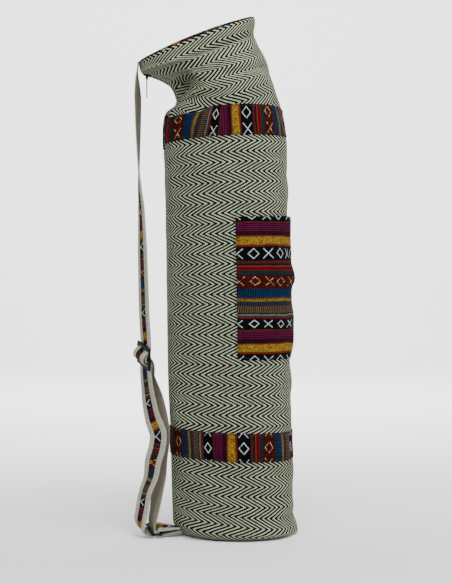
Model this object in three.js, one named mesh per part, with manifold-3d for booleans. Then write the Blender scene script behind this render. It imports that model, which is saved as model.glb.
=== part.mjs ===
// Yoga mat bag: a tall round cloth bag with a zip down its whole left side, a slumped hood, two woven
// bands, a patch pocket and a shoulder strap that runs from the hood's tip to a ring at the base.
// Millimetres and degrees. +Z is up, the bag stands at the origin, and its front looks along -Y.

import * as THREE from 'three';
import { mergeVertices } from 'three/addons/utils/BufferGeometryUtils.js';
import Module from 'manifold-3d';

const wasm = await Module();
wasm.setup();

// Bag
const bag_height = 702;
const bag_radius = 83.5;
const rim_tilt = 21.4;
const wall_thickness = 2;
const seam_gap = 0.3;
const cloth_per_rise = 1.042;

// Bottom corner, rounder on the side where the strap's tab pulls it up
const corner_radius = 12;
const corner_swing = 0.6;
const corner_roundest_at = 178;
const corner_fade = 60;

// Bands, their places up the cloth, and the pocket
const band_thickness = 1.2;
const lower_band_from = 112;
const lower_band_width = 37.5;
const upper_band_below_top = 163;
const upper_band_width = 40;
const upper_band_drop = 6;
const band_drop_from = 0.86;
const pocket_from = 245;
const pocket_height = 187;
const pocket_width = 135;
const pocket_left_at = 277.5;
const pocket_thickness = 1.6;
const pocket_puff = 2.4;

// Top disc
const disc_thickness = 2;
const disc_bulge = 6;

// Zip
const zip_slit = 4;
const zip_tape_thickness = 0.8;
const zip_tape_gap = 0.9;
const zip_coil_width = 2.8;
const zip_coil_thickness = 1.5;
const zip_end_inset = 6;
const zip_slider_from_rim = 39.5;
const zip_slider_length = 11;
const zip_slider_width = 8;
const zip_slider_thickness = 2;
const zip_slider_clearance = 0.8;
const slider_ear = 1;
const slider_pin = 1.6;
const pull_length = 27;
const pull_width = 4.4;
const pull_thickness = 1.4;
const pull_barrel = 3.8;
const pull_hole = 2.3;

// Strap and its hardware
const strap_width = 27;
const strap_thickness = 2.4;
const strap_sewn_from_rim = 5;
const strap_turn_at = 187;
const hardware_clearance = 0.8;
const bend_room = 0.4;
const slide_bar = 5;
const slide_slot = 9;
const slide_side = 3;
const slide_thickness = 3;
const slide_down = 0.63;
const slide_right = 0.108;
const slide_near = 0.272;
const slide_turn = 55.3;
const slide_tilt = -21.3;
const slide_lean = -11;
const ring_wire = 3;
const ring_eye = 9;
const ring_height = 10.3;
const ring_left = 1.345;
const ring_near = 0.52;
const ring_turn = 70.3;
const ring_tilt = -17.2;
const tab_at = 202;
const tab_height = 9.6;

// How finely the round shapes are cut
const columns_round = 48;
const disc_rings = 4;

const degree = Math.PI / 180;
const corner_arc = corner_radius * Math.PI / 2;
const rim_height = bag_height - bag_radius * Math.sin(rim_tilt * degree);
const wall_rise = rim_height - corner_radius - seam_gap;
const wall_length = wall_rise * cloth_per_rise;
const cloth_top = corner_arc + wall_length;
const upper_band_from = bag_height - upper_band_below_top;

// Sections of the cloth tube, from the top of the bottom corner to the rim. along is the share of the
// cloth's length and up the share of its rise. shift, half_width and half_depth are shares of bag_radius.
// tilt lowers the left end, nod lowers the front, in degrees.
const sections = [
  { along: 0.000, up: 0.000, shift: 0.000, half_width: 0.995, half_depth: 1.000, tilt: 0.0, nod: 0 },
  { along: 0.102, up: 0.106, shift: -0.023, half_width: 0.998, half_depth: 1.000, tilt: -2.2, nod: 0 },
  { along: 0.184, up: 0.192, shift: -0.043, half_width: 0.994, half_depth: 0.998, tilt: -2.4, nod: 0 },
  { along: 0.282, up: 0.294, shift: -0.066, half_width: 1.006, half_depth: 0.996, tilt: -0.8, nod: 0 },
  { along: 0.466, up: 0.485, shift: -0.090, half_width: 1.004, half_depth: 0.998, tilt: 0.5, nod: 0 },
  { along: 0.619, up: 0.645, shift: -0.113, half_width: 1.000, half_depth: 1.000, tilt: 2.9, nod: 0 },
  { along: 0.742, up: 0.773, shift: -0.135, half_width: 1.003, half_depth: 1.000, tilt: 3.4, nod: 0 },
  { along: 0.813, up: 0.847, shift: -0.172, half_width: 0.953, half_depth: 1.020, tilt: 3.6, nod: 0 },
  { along: 0.853, up: 0.882, shift: -0.120, half_width: 0.812, half_depth: 1.050, tilt: 7.7, nod: 0 },
  { along: 0.885, up: 0.916, shift: -0.220, half_width: 0.826, half_depth: 1.045, tilt: 7.5, nod: 2 },
  { along: 0.926, up: 0.946, shift: -0.420, half_width: 0.922, half_depth: 1.020, tilt: 11.2, nod: 4 },
  { along: 0.964, up: 0.973, shift: -0.580, half_width: 0.978, half_depth: 1.005, tilt: 19.0, nod: 6.5 },
  { along: 1.000, up: 1.000, shift: -0.610, half_width: 1.010, half_depth: 0.995, tilt: rim_tilt, nod: 7.5 },
];

// Folds: a ridge or a valley from one angle to another, and from one share of the cloth's length to another.
// out and spread are shares of bag_radius, ends is the angle in which the fold dies away.
const folds = [
  { name: 'notch', from: 208, to: 234, low: 0.878, high: 0.896, out: -0.190, spread: 0.140, ends: 12 },
  { name: 'beak ridge', from: 212, to: 246, low: 0.961, high: 0.950, out: 0.065, spread: 0.085, ends: 22 },
  { name: 'roll lip', from: 206, to: 248, low: 0.848, high: 0.858, out: 0.075, spread: 0.048, ends: 16 },
  { name: 'band roll', from: 190, to: 248, low: 0.828, high: 0.834, out: 0.040, spread: 0.090, ends: 22 },
  { name: 'hood crease', from: 272, to: 346, low: 0.949, high: 0.962, out: -0.052, spread: 0.056, ends: 24 },
  { name: 'rim roll', from: 300, to: 400, low: 0.988, high: 0.988, out: 0.028, spread: 0.120, ends: 30 },
  { name: 'side crease', from: 284, to: 336, low: 0.884, high: 0.896, out: -0.045, spread: 0.062, ends: 24 },
  { name: 'back valley', from: 420, to: 492, low: 0.905, high: 0.880, out: -0.100, spread: 0.140, ends: 30 },
  { name: 'foot bulge', from: 292, to: 400, low: -0.004, high: -0.004, out: 0.060, spread: 0.130, ends: 30 },
  { name: 'foot crease', from: 335, to: 385, low: 0.030, high: 0.030, out: -0.036, spread: 0.080, ends: 20 },
  { name: 'upper pinch', from: 192, to: 236, low: 0.108, high: 0.060, out: -0.020, spread: 0.060, ends: 12 },
  { name: 'lower pinch', from: 198, to: 250, low: 0.066, high: 0.026, out: -0.018, spread: 0.055, ends: 12 },
];

// The zip runs straight up the left side and drifts to the front with the cloth's twist
const zip_line = [
  { along: 0.00, angle: 182.0 },
  { along: 0.33, angle: 183.5 },
  { along: 0.54, angle: 188.0 },
  { along: 0.74, angle: 192.0 },
  { along: 1.00, angle: 192.0 },
];
const zip_mean_angle = 190;
const zip_drift_reach = 0.2;

// Heights up the cloth where the wall is cut, besides its corner and the edges of bands and pocket
const wall_rows = [0.06, 0.26, 0.42, 0.50, 0.69];
const hood_rows = 13;

// A smooth curve through one column of a table
function columnAt(rows, key, along) {
  const last = rows.length - 1;
  let i = 0;
  while (i < last - 1 && along > rows[i + 1].along) i += 1;
  const slope = (k) => {
    const a = rows[Math.max(k - 1, 0)];
    const b = rows[Math.min(k + 1, last)];
    return (b[key] - a[key]) / (b.along - a.along);
  };
  const span = rows[i + 1].along - rows[i].along;
  const t = THREE.MathUtils.clamp((along - rows[i].along) / span, 0, 1);
  const rest = 1 - t;
  return rows[i][key] * (1 + 2 * t) * rest * rest
    + slope(i) * span * t * rest * rest
    + rows[i + 1][key] * t * t * (3 - 2 * t)
    - slope(i + 1) * span * t * t * rest;
}

// How far round the bag a share of the turn lies, in radians; turn 0 and 1 are the zip
function angleAt(turn, along) {
  const near_zip = 1 - THREE.MathUtils.smoothstep(Math.min(turn, 1 - turn), 0, zip_drift_reach);
  const drift = columnAt(zip_line, 'angle', along) - zip_mean_angle;
  return (zip_mean_angle + 360 * turn + drift * near_zip) * degree;
}

// The share of the turn at which the cloth lies at an angle given in degrees
function turnAt(angle, along) {
  let turn = (angle - zip_mean_angle) / 360;
  for (let pass = 0; pass < 4; pass += 1) {
    turn += (angle * degree - angleAt(turn, along)) / (2 * Math.PI);
  }
  return turn;
}

// How far the folds push the cloth out at an angle in degrees
function foldsAt(angle, along) {
  let out = 0;
  for (const fold of folds) {
    for (const a of [angle - 360, angle, angle + 360]) {
      const inside = Math.min(a - fold.from, fold.to - a);
      if (inside <= -fold.ends) continue;
      const share = THREE.MathUtils.clamp((a - fold.from) / (fold.to - fold.from), 0, 1);
      const off = (along - THREE.MathUtils.lerp(fold.low, fold.high, share)) * wall_length;
      const strength = THREE.MathUtils.smoothstep(inside, -fold.ends, 0);
      out += fold.out * bag_radius * strength * Math.exp(-((off / (fold.spread * bag_radius)) ** 2));
    }
  }
  return out;
}

// The cloth's outer face, with the direction away from the tube in the plane of its section
function bareSkin(turn, height) {
  const along = (height - corner_arc) / wall_length;
  const angle = angleAt(turn, along);
  const row = (key) => columnAt(sections, key, Math.max(along, 0));
  const corner = corner_radius * (1 + corner_swing * Math.cos(angle - corner_roundest_at * degree));
  const bend = Math.min(height / corner_arc, 1) * Math.PI / 2;
  const inset = corner * (1 - Math.sin(bend));
  const settle = 1 - THREE.MathUtils.smoothstep(height, corner_arc, corner_arc + corner_fade);
  const lift = along < 0 ? corner * (1 - Math.cos(bend)) : corner_radius + (corner - corner_radius) * settle;
  const half_width = row('half_width') * bag_radius - inset;
  const half_depth = row('half_depth') * bag_radius - inset;
  const tilt = row('tilt') * degree;
  const nod = row('nod') * degree;
  const right = new THREE.Vector3(Math.cos(tilt), 0, Math.sin(tilt));
  const back = new THREE.Vector3(0, Math.cos(nod), Math.sin(nod));
  const outward = right.clone().multiplyScalar(Math.cos(angle) / half_width)
    .addScaledVector(back, Math.sin(angle) / half_depth)
    .normalize();
  const push = foldsAt(angle / degree, along) * Math.sin(bend);
  const at = new THREE.Vector3(row('shift') * bag_radius, 0, seam_gap + lift + row('up') * wall_rise)
    .addScaledVector(right, half_width * Math.cos(angle))
    .addScaledVector(back, half_depth * Math.sin(angle))
    .addScaledVector(outward, push);
  return { at, outward };
}

// The cloth's face and the three directions on it: across the turn, up the cloth and out of it
function skinFrame(turn, height) {
  const step = 0.5;
  const low = bareSkin(turn, Math.max(height - step, 0)).at;
  const high = bareSkin(turn, Math.min(height + step, cloth_top)).at;
  const before = bareSkin(turn - step / 360, height).at;
  const after = bareSkin(turn + step / 360, height).at;
  const across = after.sub(before).normalize();
  const up = high.sub(low).normalize();
  const out = across.clone().cross(up).normalize();
  return { across, up: out.clone().cross(across), out };
}

// A point at a distance out of the cloth's face; at the rim it stays in the plane of the rim
function skin(turn, height, offset) {
  const { at, outward } = bareSkin(turn, height);
  if (offset === 0) return at;
  const direction = height > cloth_top - 0.01 ? outward : skinFrame(turn, height).out;
  return at.addScaledVector(direction, offset);
}

// Triangles gathered into one closed body
class Body {
  constructor() {
    this.points = [];
  }

  triangle(a, b, c) {
    for (const p of [a, b, c]) this.points.push(p.x, p.y, p.z);
  }

  quad(a, b, c, d) {
    this.triangle(a, b, c);
    this.triangle(a, c, d);
  }

  geometry() {
    const geometry = new THREE.BufferGeometry();
    geometry.setAttribute('position', new THREE.Float32BufferAttribute(this.points, 3));
    const merged = mergeVertices(geometry, 1e-4);
    merged.computeVertexNormals();
    return merged;
  }
}

// A sheet with a thickness: place(u, v, side) gives its outer face at side 1 and its inner face at side 0
function sheet(columns, rows, place) {
  const body = new Body();
  const grid = (side) => rows.map((v) => columns.map((u) => place(u, v, side)));
  const outer = grid(1);
  const inner = grid(0);
  const right = columns.length - 1;
  const top = rows.length - 1;
  for (let j = 0; j < top; j += 1) {
    for (let i = 0; i < right; i += 1) {
      body.quad(outer[j][i], outer[j][i + 1], outer[j + 1][i + 1], outer[j + 1][i]);
      body.quad(inner[j][i], inner[j + 1][i], inner[j + 1][i + 1], inner[j][i + 1]);
    }
    body.quad(inner[j + 1][0], inner[j][0], outer[j][0], outer[j + 1][0]);
    body.quad(inner[j][right], inner[j + 1][right], outer[j + 1][right], outer[j][right]);
  }
  for (let i = 0; i < right; i += 1) {
    body.quad(inner[0][i], inner[0][i + 1], outer[0][i + 1], outer[0][i]);
    body.quad(inner[top][i + 1], inner[top][i], outer[top][i], outer[top][i + 1]);
  }
  return body.geometry();
}

// A round panel: place(turn, share, side) gives its upper face at side 1 and its lower face at side 0
function panel(columns, rings, place) {
  const body = new Body();
  const count = columns.length;
  const grid = (side) => rings.map((share) => columns.map((turn) => place(turn, share, side)));
  const upper = grid(1);
  const lower = grid(0);
  const upper_middle = place(0, 0, 1);
  const lower_middle = place(0, 0, 0);
  const edge = rings.length - 1;
  for (let i = 0; i < count; i += 1) {
    const next = (i + 1) % count;
    body.triangle(upper_middle, upper[0][i], upper[0][next]);
    body.triangle(lower_middle, lower[0][next], lower[0][i]);
    for (let j = 0; j < edge; j += 1) {
      body.quad(upper[j][i], upper[j + 1][i], upper[j + 1][next], upper[j][next]);
      body.quad(lower[j][i], lower[j][next], lower[j + 1][next], lower[j + 1][i]);
    }
    body.quad(upper[edge][i], lower[edge][i], lower[edge][next], upper[edge][next]);
  }
  return body.geometry();
}

// A flat strap along a route of rows, each with a point and the direction across the strap
function ribbon(rows, steps_a_span, width, thickness) {
  const curve = new THREE.CatmullRomCurve3(rows.map((row) => row.at), false, 'centripetal');
  const spans = rows.length - 1;
  const shares = [];
  for (let k = 0; k <= spans * steps_a_span; k += 1) shares.push(k / (spans * steps_a_span));
  const frames = shares.map((share) => {
    const tangent = curve.getTangent(share);
    const k = Math.min(Math.floor(share * spans), spans - 1);
    const across = rows[k].across.clone().lerp(rows[k + 1].across, share * spans - k);
    const out = across.cross(tangent).normalize();
    return { at: curve.getPoint(share), across: tangent.clone().cross(out).normalize(), out };
  });
  return sheet([-0.5, 0.5], frames, (u, frame, side) => frame.at.clone()
    .addScaledVector(frame.across, u * width)
    .addScaledVector(frame.out, (side - 0.5) * thickness));
}

// The direction across a strap: turn 0 lies along +X, turn 90 points to the front, tilt raises it
function acrossAt(turn, tilt) {
  const level = Math.cos(tilt * degree);
  return new THREE.Vector3(
    level * Math.cos(turn * degree),
    -level * Math.sin(turn * degree),
    Math.sin(tilt * degree),
  );
}

function roundedRectangle(shape, width, height, radius) {
  const x = width / 2;
  const y = height / 2;
  shape.moveTo(-x + radius, -y);
  shape.lineTo(x - radius, -y);
  shape.absarc(x - radius, -y + radius, radius, -Math.PI / 2, 0, false);
  shape.lineTo(x, y - radius);
  shape.absarc(x - radius, y - radius, radius, 0, Math.PI / 2, false);
  shape.lineTo(-x + radius, y);
  shape.absarc(-x + radius, y - radius, radius, Math.PI / 2, Math.PI, false);
  shape.lineTo(-x, -y + radius);
  shape.absarc(-x + radius, -y + radius, radius, Math.PI, 1.5 * Math.PI, false);
  return shape;
}

function slot(width, height, x, y) {
  const hole = new THREE.Path();
  hole.moveTo(x - width / 2, y - height / 2);
  hole.lineTo(x - width / 2, y + height / 2);
  hole.lineTo(x + width / 2, y + height / 2);
  hole.lineTo(x + width / 2, y - height / 2);
  hole.closePath();
  return hole;
}

// A flat plate with its middle at z 0 and its edges eased
function plate(shape, thickness, ease) {
  const geometry = new THREE.ExtrudeGeometry(shape, {
    depth: thickness - 2 * ease,
    bevelEnabled: ease > 0,
    bevelThickness: ease,
    bevelSize: ease,
    bevelOffset: -ease,
    bevelSegments: 1,
    curveSegments: 3,
  });
  geometry.translate(0, 0, -thickness / 2 + ease);
  return geometry;
}

function closedSolid(geometry) {
  const bare = geometry.clone();
  bare.deleteAttribute('normal');
  bare.deleteAttribute('uv');
  const merged = mergeVertices(bare, 1e-4);
  const vertProperties = Float32Array.from(merged.attributes.position.array);
  const triVerts = Uint32Array.from(merged.index.array);
  return new wasm.Manifold(new wasm.Mesh({ numProp: 3, vertProperties, triVerts }));
}

function joined(first, second) {
  const mesh = closedSolid(first).add(closedSolid(second)).getMesh();
  const geometry = new THREE.BufferGeometry();
  geometry.setAttribute('position', new THREE.Float32BufferAttribute(mesh.vertProperties, 3));
  geometry.setIndex(Array.from(mesh.triVerts));
  geometry.computeVertexNormals();
  return geometry;
}

const herringbone = new THREE.MeshStandardMaterial({ color: 0x8f917d, roughness: 0.95 });
const woven_stripe = new THREE.MeshStandardMaterial({ color: 0x7a2f33, roughness: 0.9 });
const canvas = new THREE.MeshStandardMaterial({ color: 0xb4b5a3, roughness: 0.9 });
const zip_cloth = new THREE.MeshStandardMaterial({ color: 0x1c1d1f, roughness: 0.8 });
const zip_metal = new THREE.MeshStandardMaterial({ color: 0x55565a, roughness: 0.4, metalness: 0.9 });
const black_plastic = new THREE.MeshStandardMaterial({ color: 0x16181b, roughness: 0.45 });

const bag = new THREE.Group();

function add(name, geometry, material, frame) {
  const mesh = new THREE.Mesh(geometry, material);
  mesh.name = name;
  if (frame) mesh.applyMatrix4(frame);
  bag.add(mesh);
}

function frameOf(across, up, out, at) {
  return new THREE.Matrix4().makeBasis(across, up, out).setPosition(at);
}

// Columns round the cloth, from one edge of the zip to the other
const zip_edge = zip_slit / 2 / bag_radius / (2 * Math.PI);
const round_columns = [];
for (let i = 0; i <= columns_round; i += 1) {
  round_columns.push(THREE.MathUtils.lerp(zip_edge, 1 - zip_edge, i / columns_round));
}

const lower_band_edges = [lower_band_from, lower_band_from + lower_band_width];
const upper_band_edges = [upper_band_from, upper_band_from + upper_band_width];
const upper_band_middle = upper_band_from + upper_band_width / 2;

function wallHeights() {
  const heights = [0, 0.25, 0.5, 0.75, 1].map((share) => share * corner_arc);
  heights.push(...wall_rows.map((share) => corner_arc + share * wall_length));
  heights.push(...lower_band_edges, ...upper_band_edges, upper_band_middle);
  heights.push(pocket_from, pocket_from + pocket_height);
  heights.push(zip_end_inset, cloth_top - zip_end_inset);
  const hood_from = upper_band_from + upper_band_width;
  for (let k = 1; k <= hood_rows; k += 1) {
    heights.push(THREE.MathUtils.lerp(hood_from, cloth_top, k / hood_rows));
  }
  return heights.sort((a, b) => a - b);
}
const wall_heights = wallHeights();

add('wall', sheet(round_columns, wall_heights,
  (turn, height, side) => skin(turn, height, (side - 1) * wall_thickness)), herringbone);

// The upper band's lower edge hangs at its far end, where the zip cuts it
function band(heights, drop) {
  return sheet(round_columns, heights, (turn, height, side) => {
    const share = height > heights[0] ? 0 : THREE.MathUtils.smoothstep(turn, band_drop_from, 1);
    return skin(turn, height - drop * share, seam_gap + side * band_thickness);
  });
}
const upper_band_heights = [upper_band_edges[0], upper_band_middle, upper_band_edges[1]];
add('lower_band', band(lower_band_edges, 0), woven_stripe);
add('upper_band', band(upper_band_heights, upper_band_drop), woven_stripe);

// The pocket is sewn down at its sides and bottom, stands off the wall between them and is open at its top
function pocket() {
  const columns = 14;
  const rows = 6;
  const left = turnAt(pocket_left_at, 0.5);
  const turns = [];
  for (let i = 0; i <= columns; i += 1) {
    turns.push(left + (i / columns) * pocket_width / bag_radius / (2 * Math.PI));
  }
  const heights = [];
  for (let j = 0; j <= rows; j += 1) heights.push(pocket_from + (j / rows) * pocket_height);
  const middle = turns[columns / 2];
  const reach = turns[columns] - middle;
  const puff = (turn, height) => {
    const side = 1 - Math.abs((turn - middle) / reach) ** 4;
    const bottom = THREE.MathUtils.smoothstep((height - pocket_from) / pocket_height, 0, 0.25);
    return pocket_puff * side * bottom;
  };
  return sheet(turns, heights, (turn, height, side) => skin(
    turn,
    height,
    seam_gap + puff(turn, height) + side * pocket_thickness,
  ));
}
add('pocket', pocket(), woven_stripe);

// The base panel lies on the floor inside the wall's lower edge
function basePanel() {
  const middle = new THREE.Vector3(0, 0, 0);
  return panel(round_columns, [1], (turn, share, side) => {
    const edge = bareSkin(turn, 0);
    const rim = edge.at.addScaledVector(edge.outward, -seam_gap).setZ(0);
    return middle.clone().lerp(rim, share).setZ(side * wall_thickness);
  });
}
add('base_panel', basePanel(), herringbone);

// The top disc closes the rim and bulges up in its middle
function topDisc() {
  const tilt = rim_tilt * degree;
  const nod = sections[sections.length - 1].nod * degree;
  const right = new THREE.Vector3(Math.cos(tilt), 0, Math.sin(tilt));
  const back = new THREE.Vector3(0, Math.cos(nod), Math.sin(nod));
  const up = right.clone().cross(back).normalize();
  const middle = bareSkin(0.25, cloth_top).at.lerp(bareSkin(0.75, cloth_top).at, 0.5);
  const rings = [];
  for (let k = 1; k <= disc_rings; k += 1) rings.push(k / disc_rings);
  return panel(round_columns, rings, (turn, share, side) => middle.clone()
    .lerp(bareSkin(turn, cloth_top).at, share)
    .addScaledVector(up, seam_gap + disc_bulge * (1 - share ** 2) + side * disc_thickness));
}
add('top_disc', topDisc(), woven_stripe);

// The zip's tape lies behind the slit, one column of the wall wide on each side, and its coil in the slit
function zipStrip(turns, bottom, thickness) {
  const heights = wall_heights.filter((h) => h >= zip_end_inset && h <= cloth_top - zip_end_inset);
  return sheet(turns, heights, (turn, height, side) => skin(turn, height, bottom + side * thickness));
}
const tape_edge = round_columns[1];
const coil_edge = zip_coil_width / 2 / bag_radius / (2 * Math.PI);
add('zip_tape', zipStrip([-tape_edge, -zip_edge, zip_edge, tape_edge],
  -wall_thickness - zip_tape_gap - zip_tape_thickness, zip_tape_thickness), zip_cloth);
add('zip_coil', zipStrip([-coil_edge, coil_edge], seam_gap - wall_thickness, zip_coil_thickness), zip_cloth);

// The zip's slider stands on the cloth near the hood's tip, with a pin between two ears for the pull
const zip_slider_height = cloth_top - zip_slider_from_rim;
const zip_slider_low = skin(0, zip_slider_height - zip_slider_length / 2, 0);
const zip_slider_high = skin(0, zip_slider_height + zip_slider_length / 2, 0);
const zip_slider_foot = zip_slider_low.clone().lerp(zip_slider_high, 0.5);
const zip_along = zip_slider_high.clone().sub(zip_slider_low).normalize();
const zip_out = skinFrame(0, zip_slider_height).across.cross(zip_along).normalize();
const zip_across = zip_along.clone().cross(zip_out);
const pin_height = zip_slider_clearance + zip_slider_thickness + pull_barrel / 2 + seam_gap;

function zipSlider() {
  const outline = roundedRectangle(new THREE.Shape(), zip_slider_width, zip_slider_length, 2.5);
  const base = plate(outline, zip_slider_thickness, 0.4);
  base.translate(0, 0, zip_slider_clearance + zip_slider_thickness / 2);
  const sunk = 0.5;
  const ear_width = 2 * slider_pin;
  const ear_height = pin_height + slider_pin - zip_slider_clearance - zip_slider_thickness + sunk;
  const ear_off = pull_width / 2 + seam_gap + slider_ear / 2;
  let slider = base;
  for (const side of [-1, 1]) {
    const outline_of_ear = roundedRectangle(new THREE.Shape(), ear_height, ear_width, ear_width * 0.3);
    const ear = plate(outline_of_ear, slider_ear, 0);
    ear.rotateY(Math.PI / 2);
    ear.translate(side * ear_off, 0, pin_height + slider_pin - ear_height / 2);
    slider = joined(slider, ear);
  }
  const pin = new THREE.CylinderGeometry(slider_pin / 2, slider_pin / 2, 2 * ear_off, 10);
  pin.rotateZ(Math.PI / 2);
  pin.translate(0, 0, pin_height);
  return joined(slider, pin);
}
add('zip_slider', zipSlider(), zip_metal, frameOf(zip_across, zip_along, zip_out, zip_slider_foot));

// The pull hangs straight down from the pin: a round-ended tab below a barrel that runs on the pin
const straight_up = new THREE.Vector3(0, 0, 1);
const pull_pivot = zip_slider_foot.clone().addScaledVector(zip_out, pin_height);
const pull_face = zip_across.clone().cross(straight_up).normalize();

function zipPull() {
  const barrel = new THREE.Shape();
  barrel.absarc(0, 0, pull_barrel / 2, 0, 2 * Math.PI, false);
  const bore = new THREE.Path();
  bore.absarc(0, 0, pull_hole / 2, 0, 2 * Math.PI, true);
  barrel.holes.push(bore);
  const ring = plate(barrel, pull_width, 0);
  ring.rotateY(Math.PI / 2);
  const from_bore = (pull_barrel + pull_hole) / 4;
  const outline = roundedRectangle(new THREE.Shape(), pull_width, pull_length - from_bore, pull_width * 0.4);
  const tab = plate(outline, pull_thickness, 0.3);
  tab.translate(0, -from_bore - (pull_length - from_bore) / 2, 0);
  return joined(ring, tab);
}
add('zip_pull', zipPull(), zip_metal, frameOf(zip_across, pull_face.clone().cross(zip_across), pull_face,
  pull_pivot));

// The strap's ring lies beside the base, its far end raised by the tab
const ring_across = acrossAt(ring_turn, ring_tilt);
const to_bag = straight_up.clone().cross(ring_across).normalize();
const ring_up = ring_across.clone().cross(to_bag);
const strap_bar = new THREE.Vector3(-ring_left * bag_radius, -ring_near * bag_radius, ring_height);
const tab_bar = strap_bar.clone().addScaledVector(to_bag, ring_eye + ring_wire);
const ring_reach = strap_width / 2 + hardware_clearance;

function strapRing() {
  const outline = roundedRectangle(new THREE.Shape(), 2 * (ring_reach + ring_wire),
    ring_eye + 2 * ring_wire, ring_wire);
  outline.holes.push(slot(2 * ring_reach, ring_eye, 0, 0));
  return plate(outline, ring_wire, ring_wire * 0.28);
}
add('strap_ring', strapRing(), black_plastic,
  frameOf(ring_across, to_bag, ring_up, strap_bar.clone().lerp(tab_bar, 0.5)));

// The strap's slide has a bar at each end and one in its middle
const slide_height = 3 * slide_bar + 2 * slide_slot;
function strapSlide() {
  const inside = strap_width + 2 * hardware_clearance;
  const outline = roundedRectangle(new THREE.Shape(), inside + 2 * slide_side, slide_height, slide_side);
  const off_middle = (slide_bar + slide_slot) / 2;
  outline.holes.push(slot(inside, slide_slot, 0, off_middle), slot(inside, slide_slot, 0, -off_middle));
  return plate(outline, slide_thickness, 0.7);
}

// The strap's route. down is the share of the way from the hood's tip to the ring, side and near are
// shares of bag_radius to the right of the tip and to the front, turn and tilt set the way across.
const run_to_slide = [
  { down: 0.014, side: -0.010, near: 0.00, turn: 86, tilt: 0 },
  { down: 0.035, side: -0.010, near: 0.02, turn: 96, tilt: 0 },
  { down: 0.070, side: -0.002, near: 0.04, turn: 105, tilt: 0 },
  { down: 0.135, side: 0.004, near: 0.07, turn: 100, tilt: 0 },
  { down: 0.212, side: 0.014, near: 0.10, turn: 90, tilt: 0 },
  { down: 0.266, side: 0.033, near: 0.13, turn: 79, tilt: 0 },
  { down: 0.312, side: 0.060, near: 0.16, turn: 70, tilt: 0 },
  { down: 0.396, side: 0.083, near: 0.22, turn: 61, tilt: 0 },
  { down: 0.478, side: 0.102, near: 0.27, turn: 58, tilt: -2 },
  { down: 0.545, side: 0.122, near: 0.33, turn: 57, tilt: -8 },
];
const run_to_ring = [
  { down: 0.695, side: 0.155, near: 0.19, turn: 52, tilt: -8 },
  { down: 0.727, side: 0.190, near: 0.23, turn: 44, tilt: -3 },
  { down: 0.765, side: 0.255, near: 0.29, turn: 36, tilt: 0 },
  { down: 0.798, side: 0.345, near: 0.38, turn: 30, tilt: 0 },
  { down: 0.826, side: 0.327, near: 0.42, turn: 29, tilt: 0 },
  { down: 0.853, side: 0.270, near: 0.43, turn: 31, tilt: 0 },
  { down: 0.887, side: 0.232, near: 0.44, turn: 42, tilt: 0 },
  { down: 0.920, side: 0.142, near: 0.45, turn: 50, tilt: 0 },
  { down: 0.955, side: 0.094, near: 0.455, turn: 48, tilt: -2 },
  { down: 0.982, side: 0.062, near: 0.470, turn: 54, tilt: -10 },
  { down: 0.998, side: 0.080, near: 0.44, turn: 66, tilt: -16 },
];
const run_from_ring = [
  { down: 0.985, side: 0.250, near: 0.41, turn: 69, tilt: -16 },
  { down: 0.956, side: 0.292, near: 0.37, turn: 63, tilt: -9 },
  { down: 0.921, side: 0.326, near: 0.30, turn: 52, tilt: -2 },
  { down: 0.888, side: 0.360, near: 0.26, turn: 46, tilt: 0 },
  { down: 0.853, side: 0.375, near: 0.24, turn: 44, tilt: 0 },
  { down: 0.798, side: 0.415, near: 0.22, turn: 44, tilt: 0 },
  { down: 0.741, side: 0.345, near: 0.12, turn: 48, tilt: -4 },
  { down: 0.704, side: 0.270, near: 0.06, turn: 52, tilt: -10 },
];

// Places on a bar, by the angle round it from its side to the bag, and by how far off its middle
const off_ring_bar = ring_wire / 2 + seam_gap + strap_thickness / 2 + bend_room;

function aroundBar(bar, angle) {
  return {
    at: bar.clone()
      .addScaledVector(to_bag, off_ring_bar * Math.cos(angle * degree))
      .addScaledVector(ring_up, off_ring_bar * Math.sin(angle * degree)),
    across: ring_across,
  };
}

const strap_tip_turn = turnAt(strap_turn_at, 1);
const off_wall = seam_gap + strap_thickness / 2 + 0.2;
const strap_top = skin(strap_tip_turn, cloth_top - 1, off_wall);
const strap_tip = skin(strap_tip_turn, cloth_top - strap_sewn_from_rim, off_wall);
const strap_sewn_across = skinFrame(strap_tip_turn, cloth_top - strap_sewn_from_rim).across;

function routed(row) {
  return {
    at: new THREE.Vector3(
      strap_tip.x + row.side * bag_radius,
      strap_tip.y - row.near * bag_radius,
      THREE.MathUtils.lerp(strap_tip.z, ring_height, row.down),
    ),
    across: acrossAt(row.turn, row.tilt),
  };
}

const slide_across = acrossAt(slide_turn, slide_tilt);
const slide_out_level = straight_up.clone().cross(slide_across).multiplyScalar(-1).normalize();
const slide_out = slide_out_level.clone().applyAxisAngle(slide_across, -slide_lean * degree);
const slide_up = slide_out.clone().cross(slide_across).normalize();
const slide_middle = routed({ down: slide_down, side: slide_right, near: slide_near, turn: 0, tilt: 0 }).at;
add('strap_slide', strapSlide(), black_plastic, frameOf(slide_across, slide_up, slide_out, slide_middle));

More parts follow.
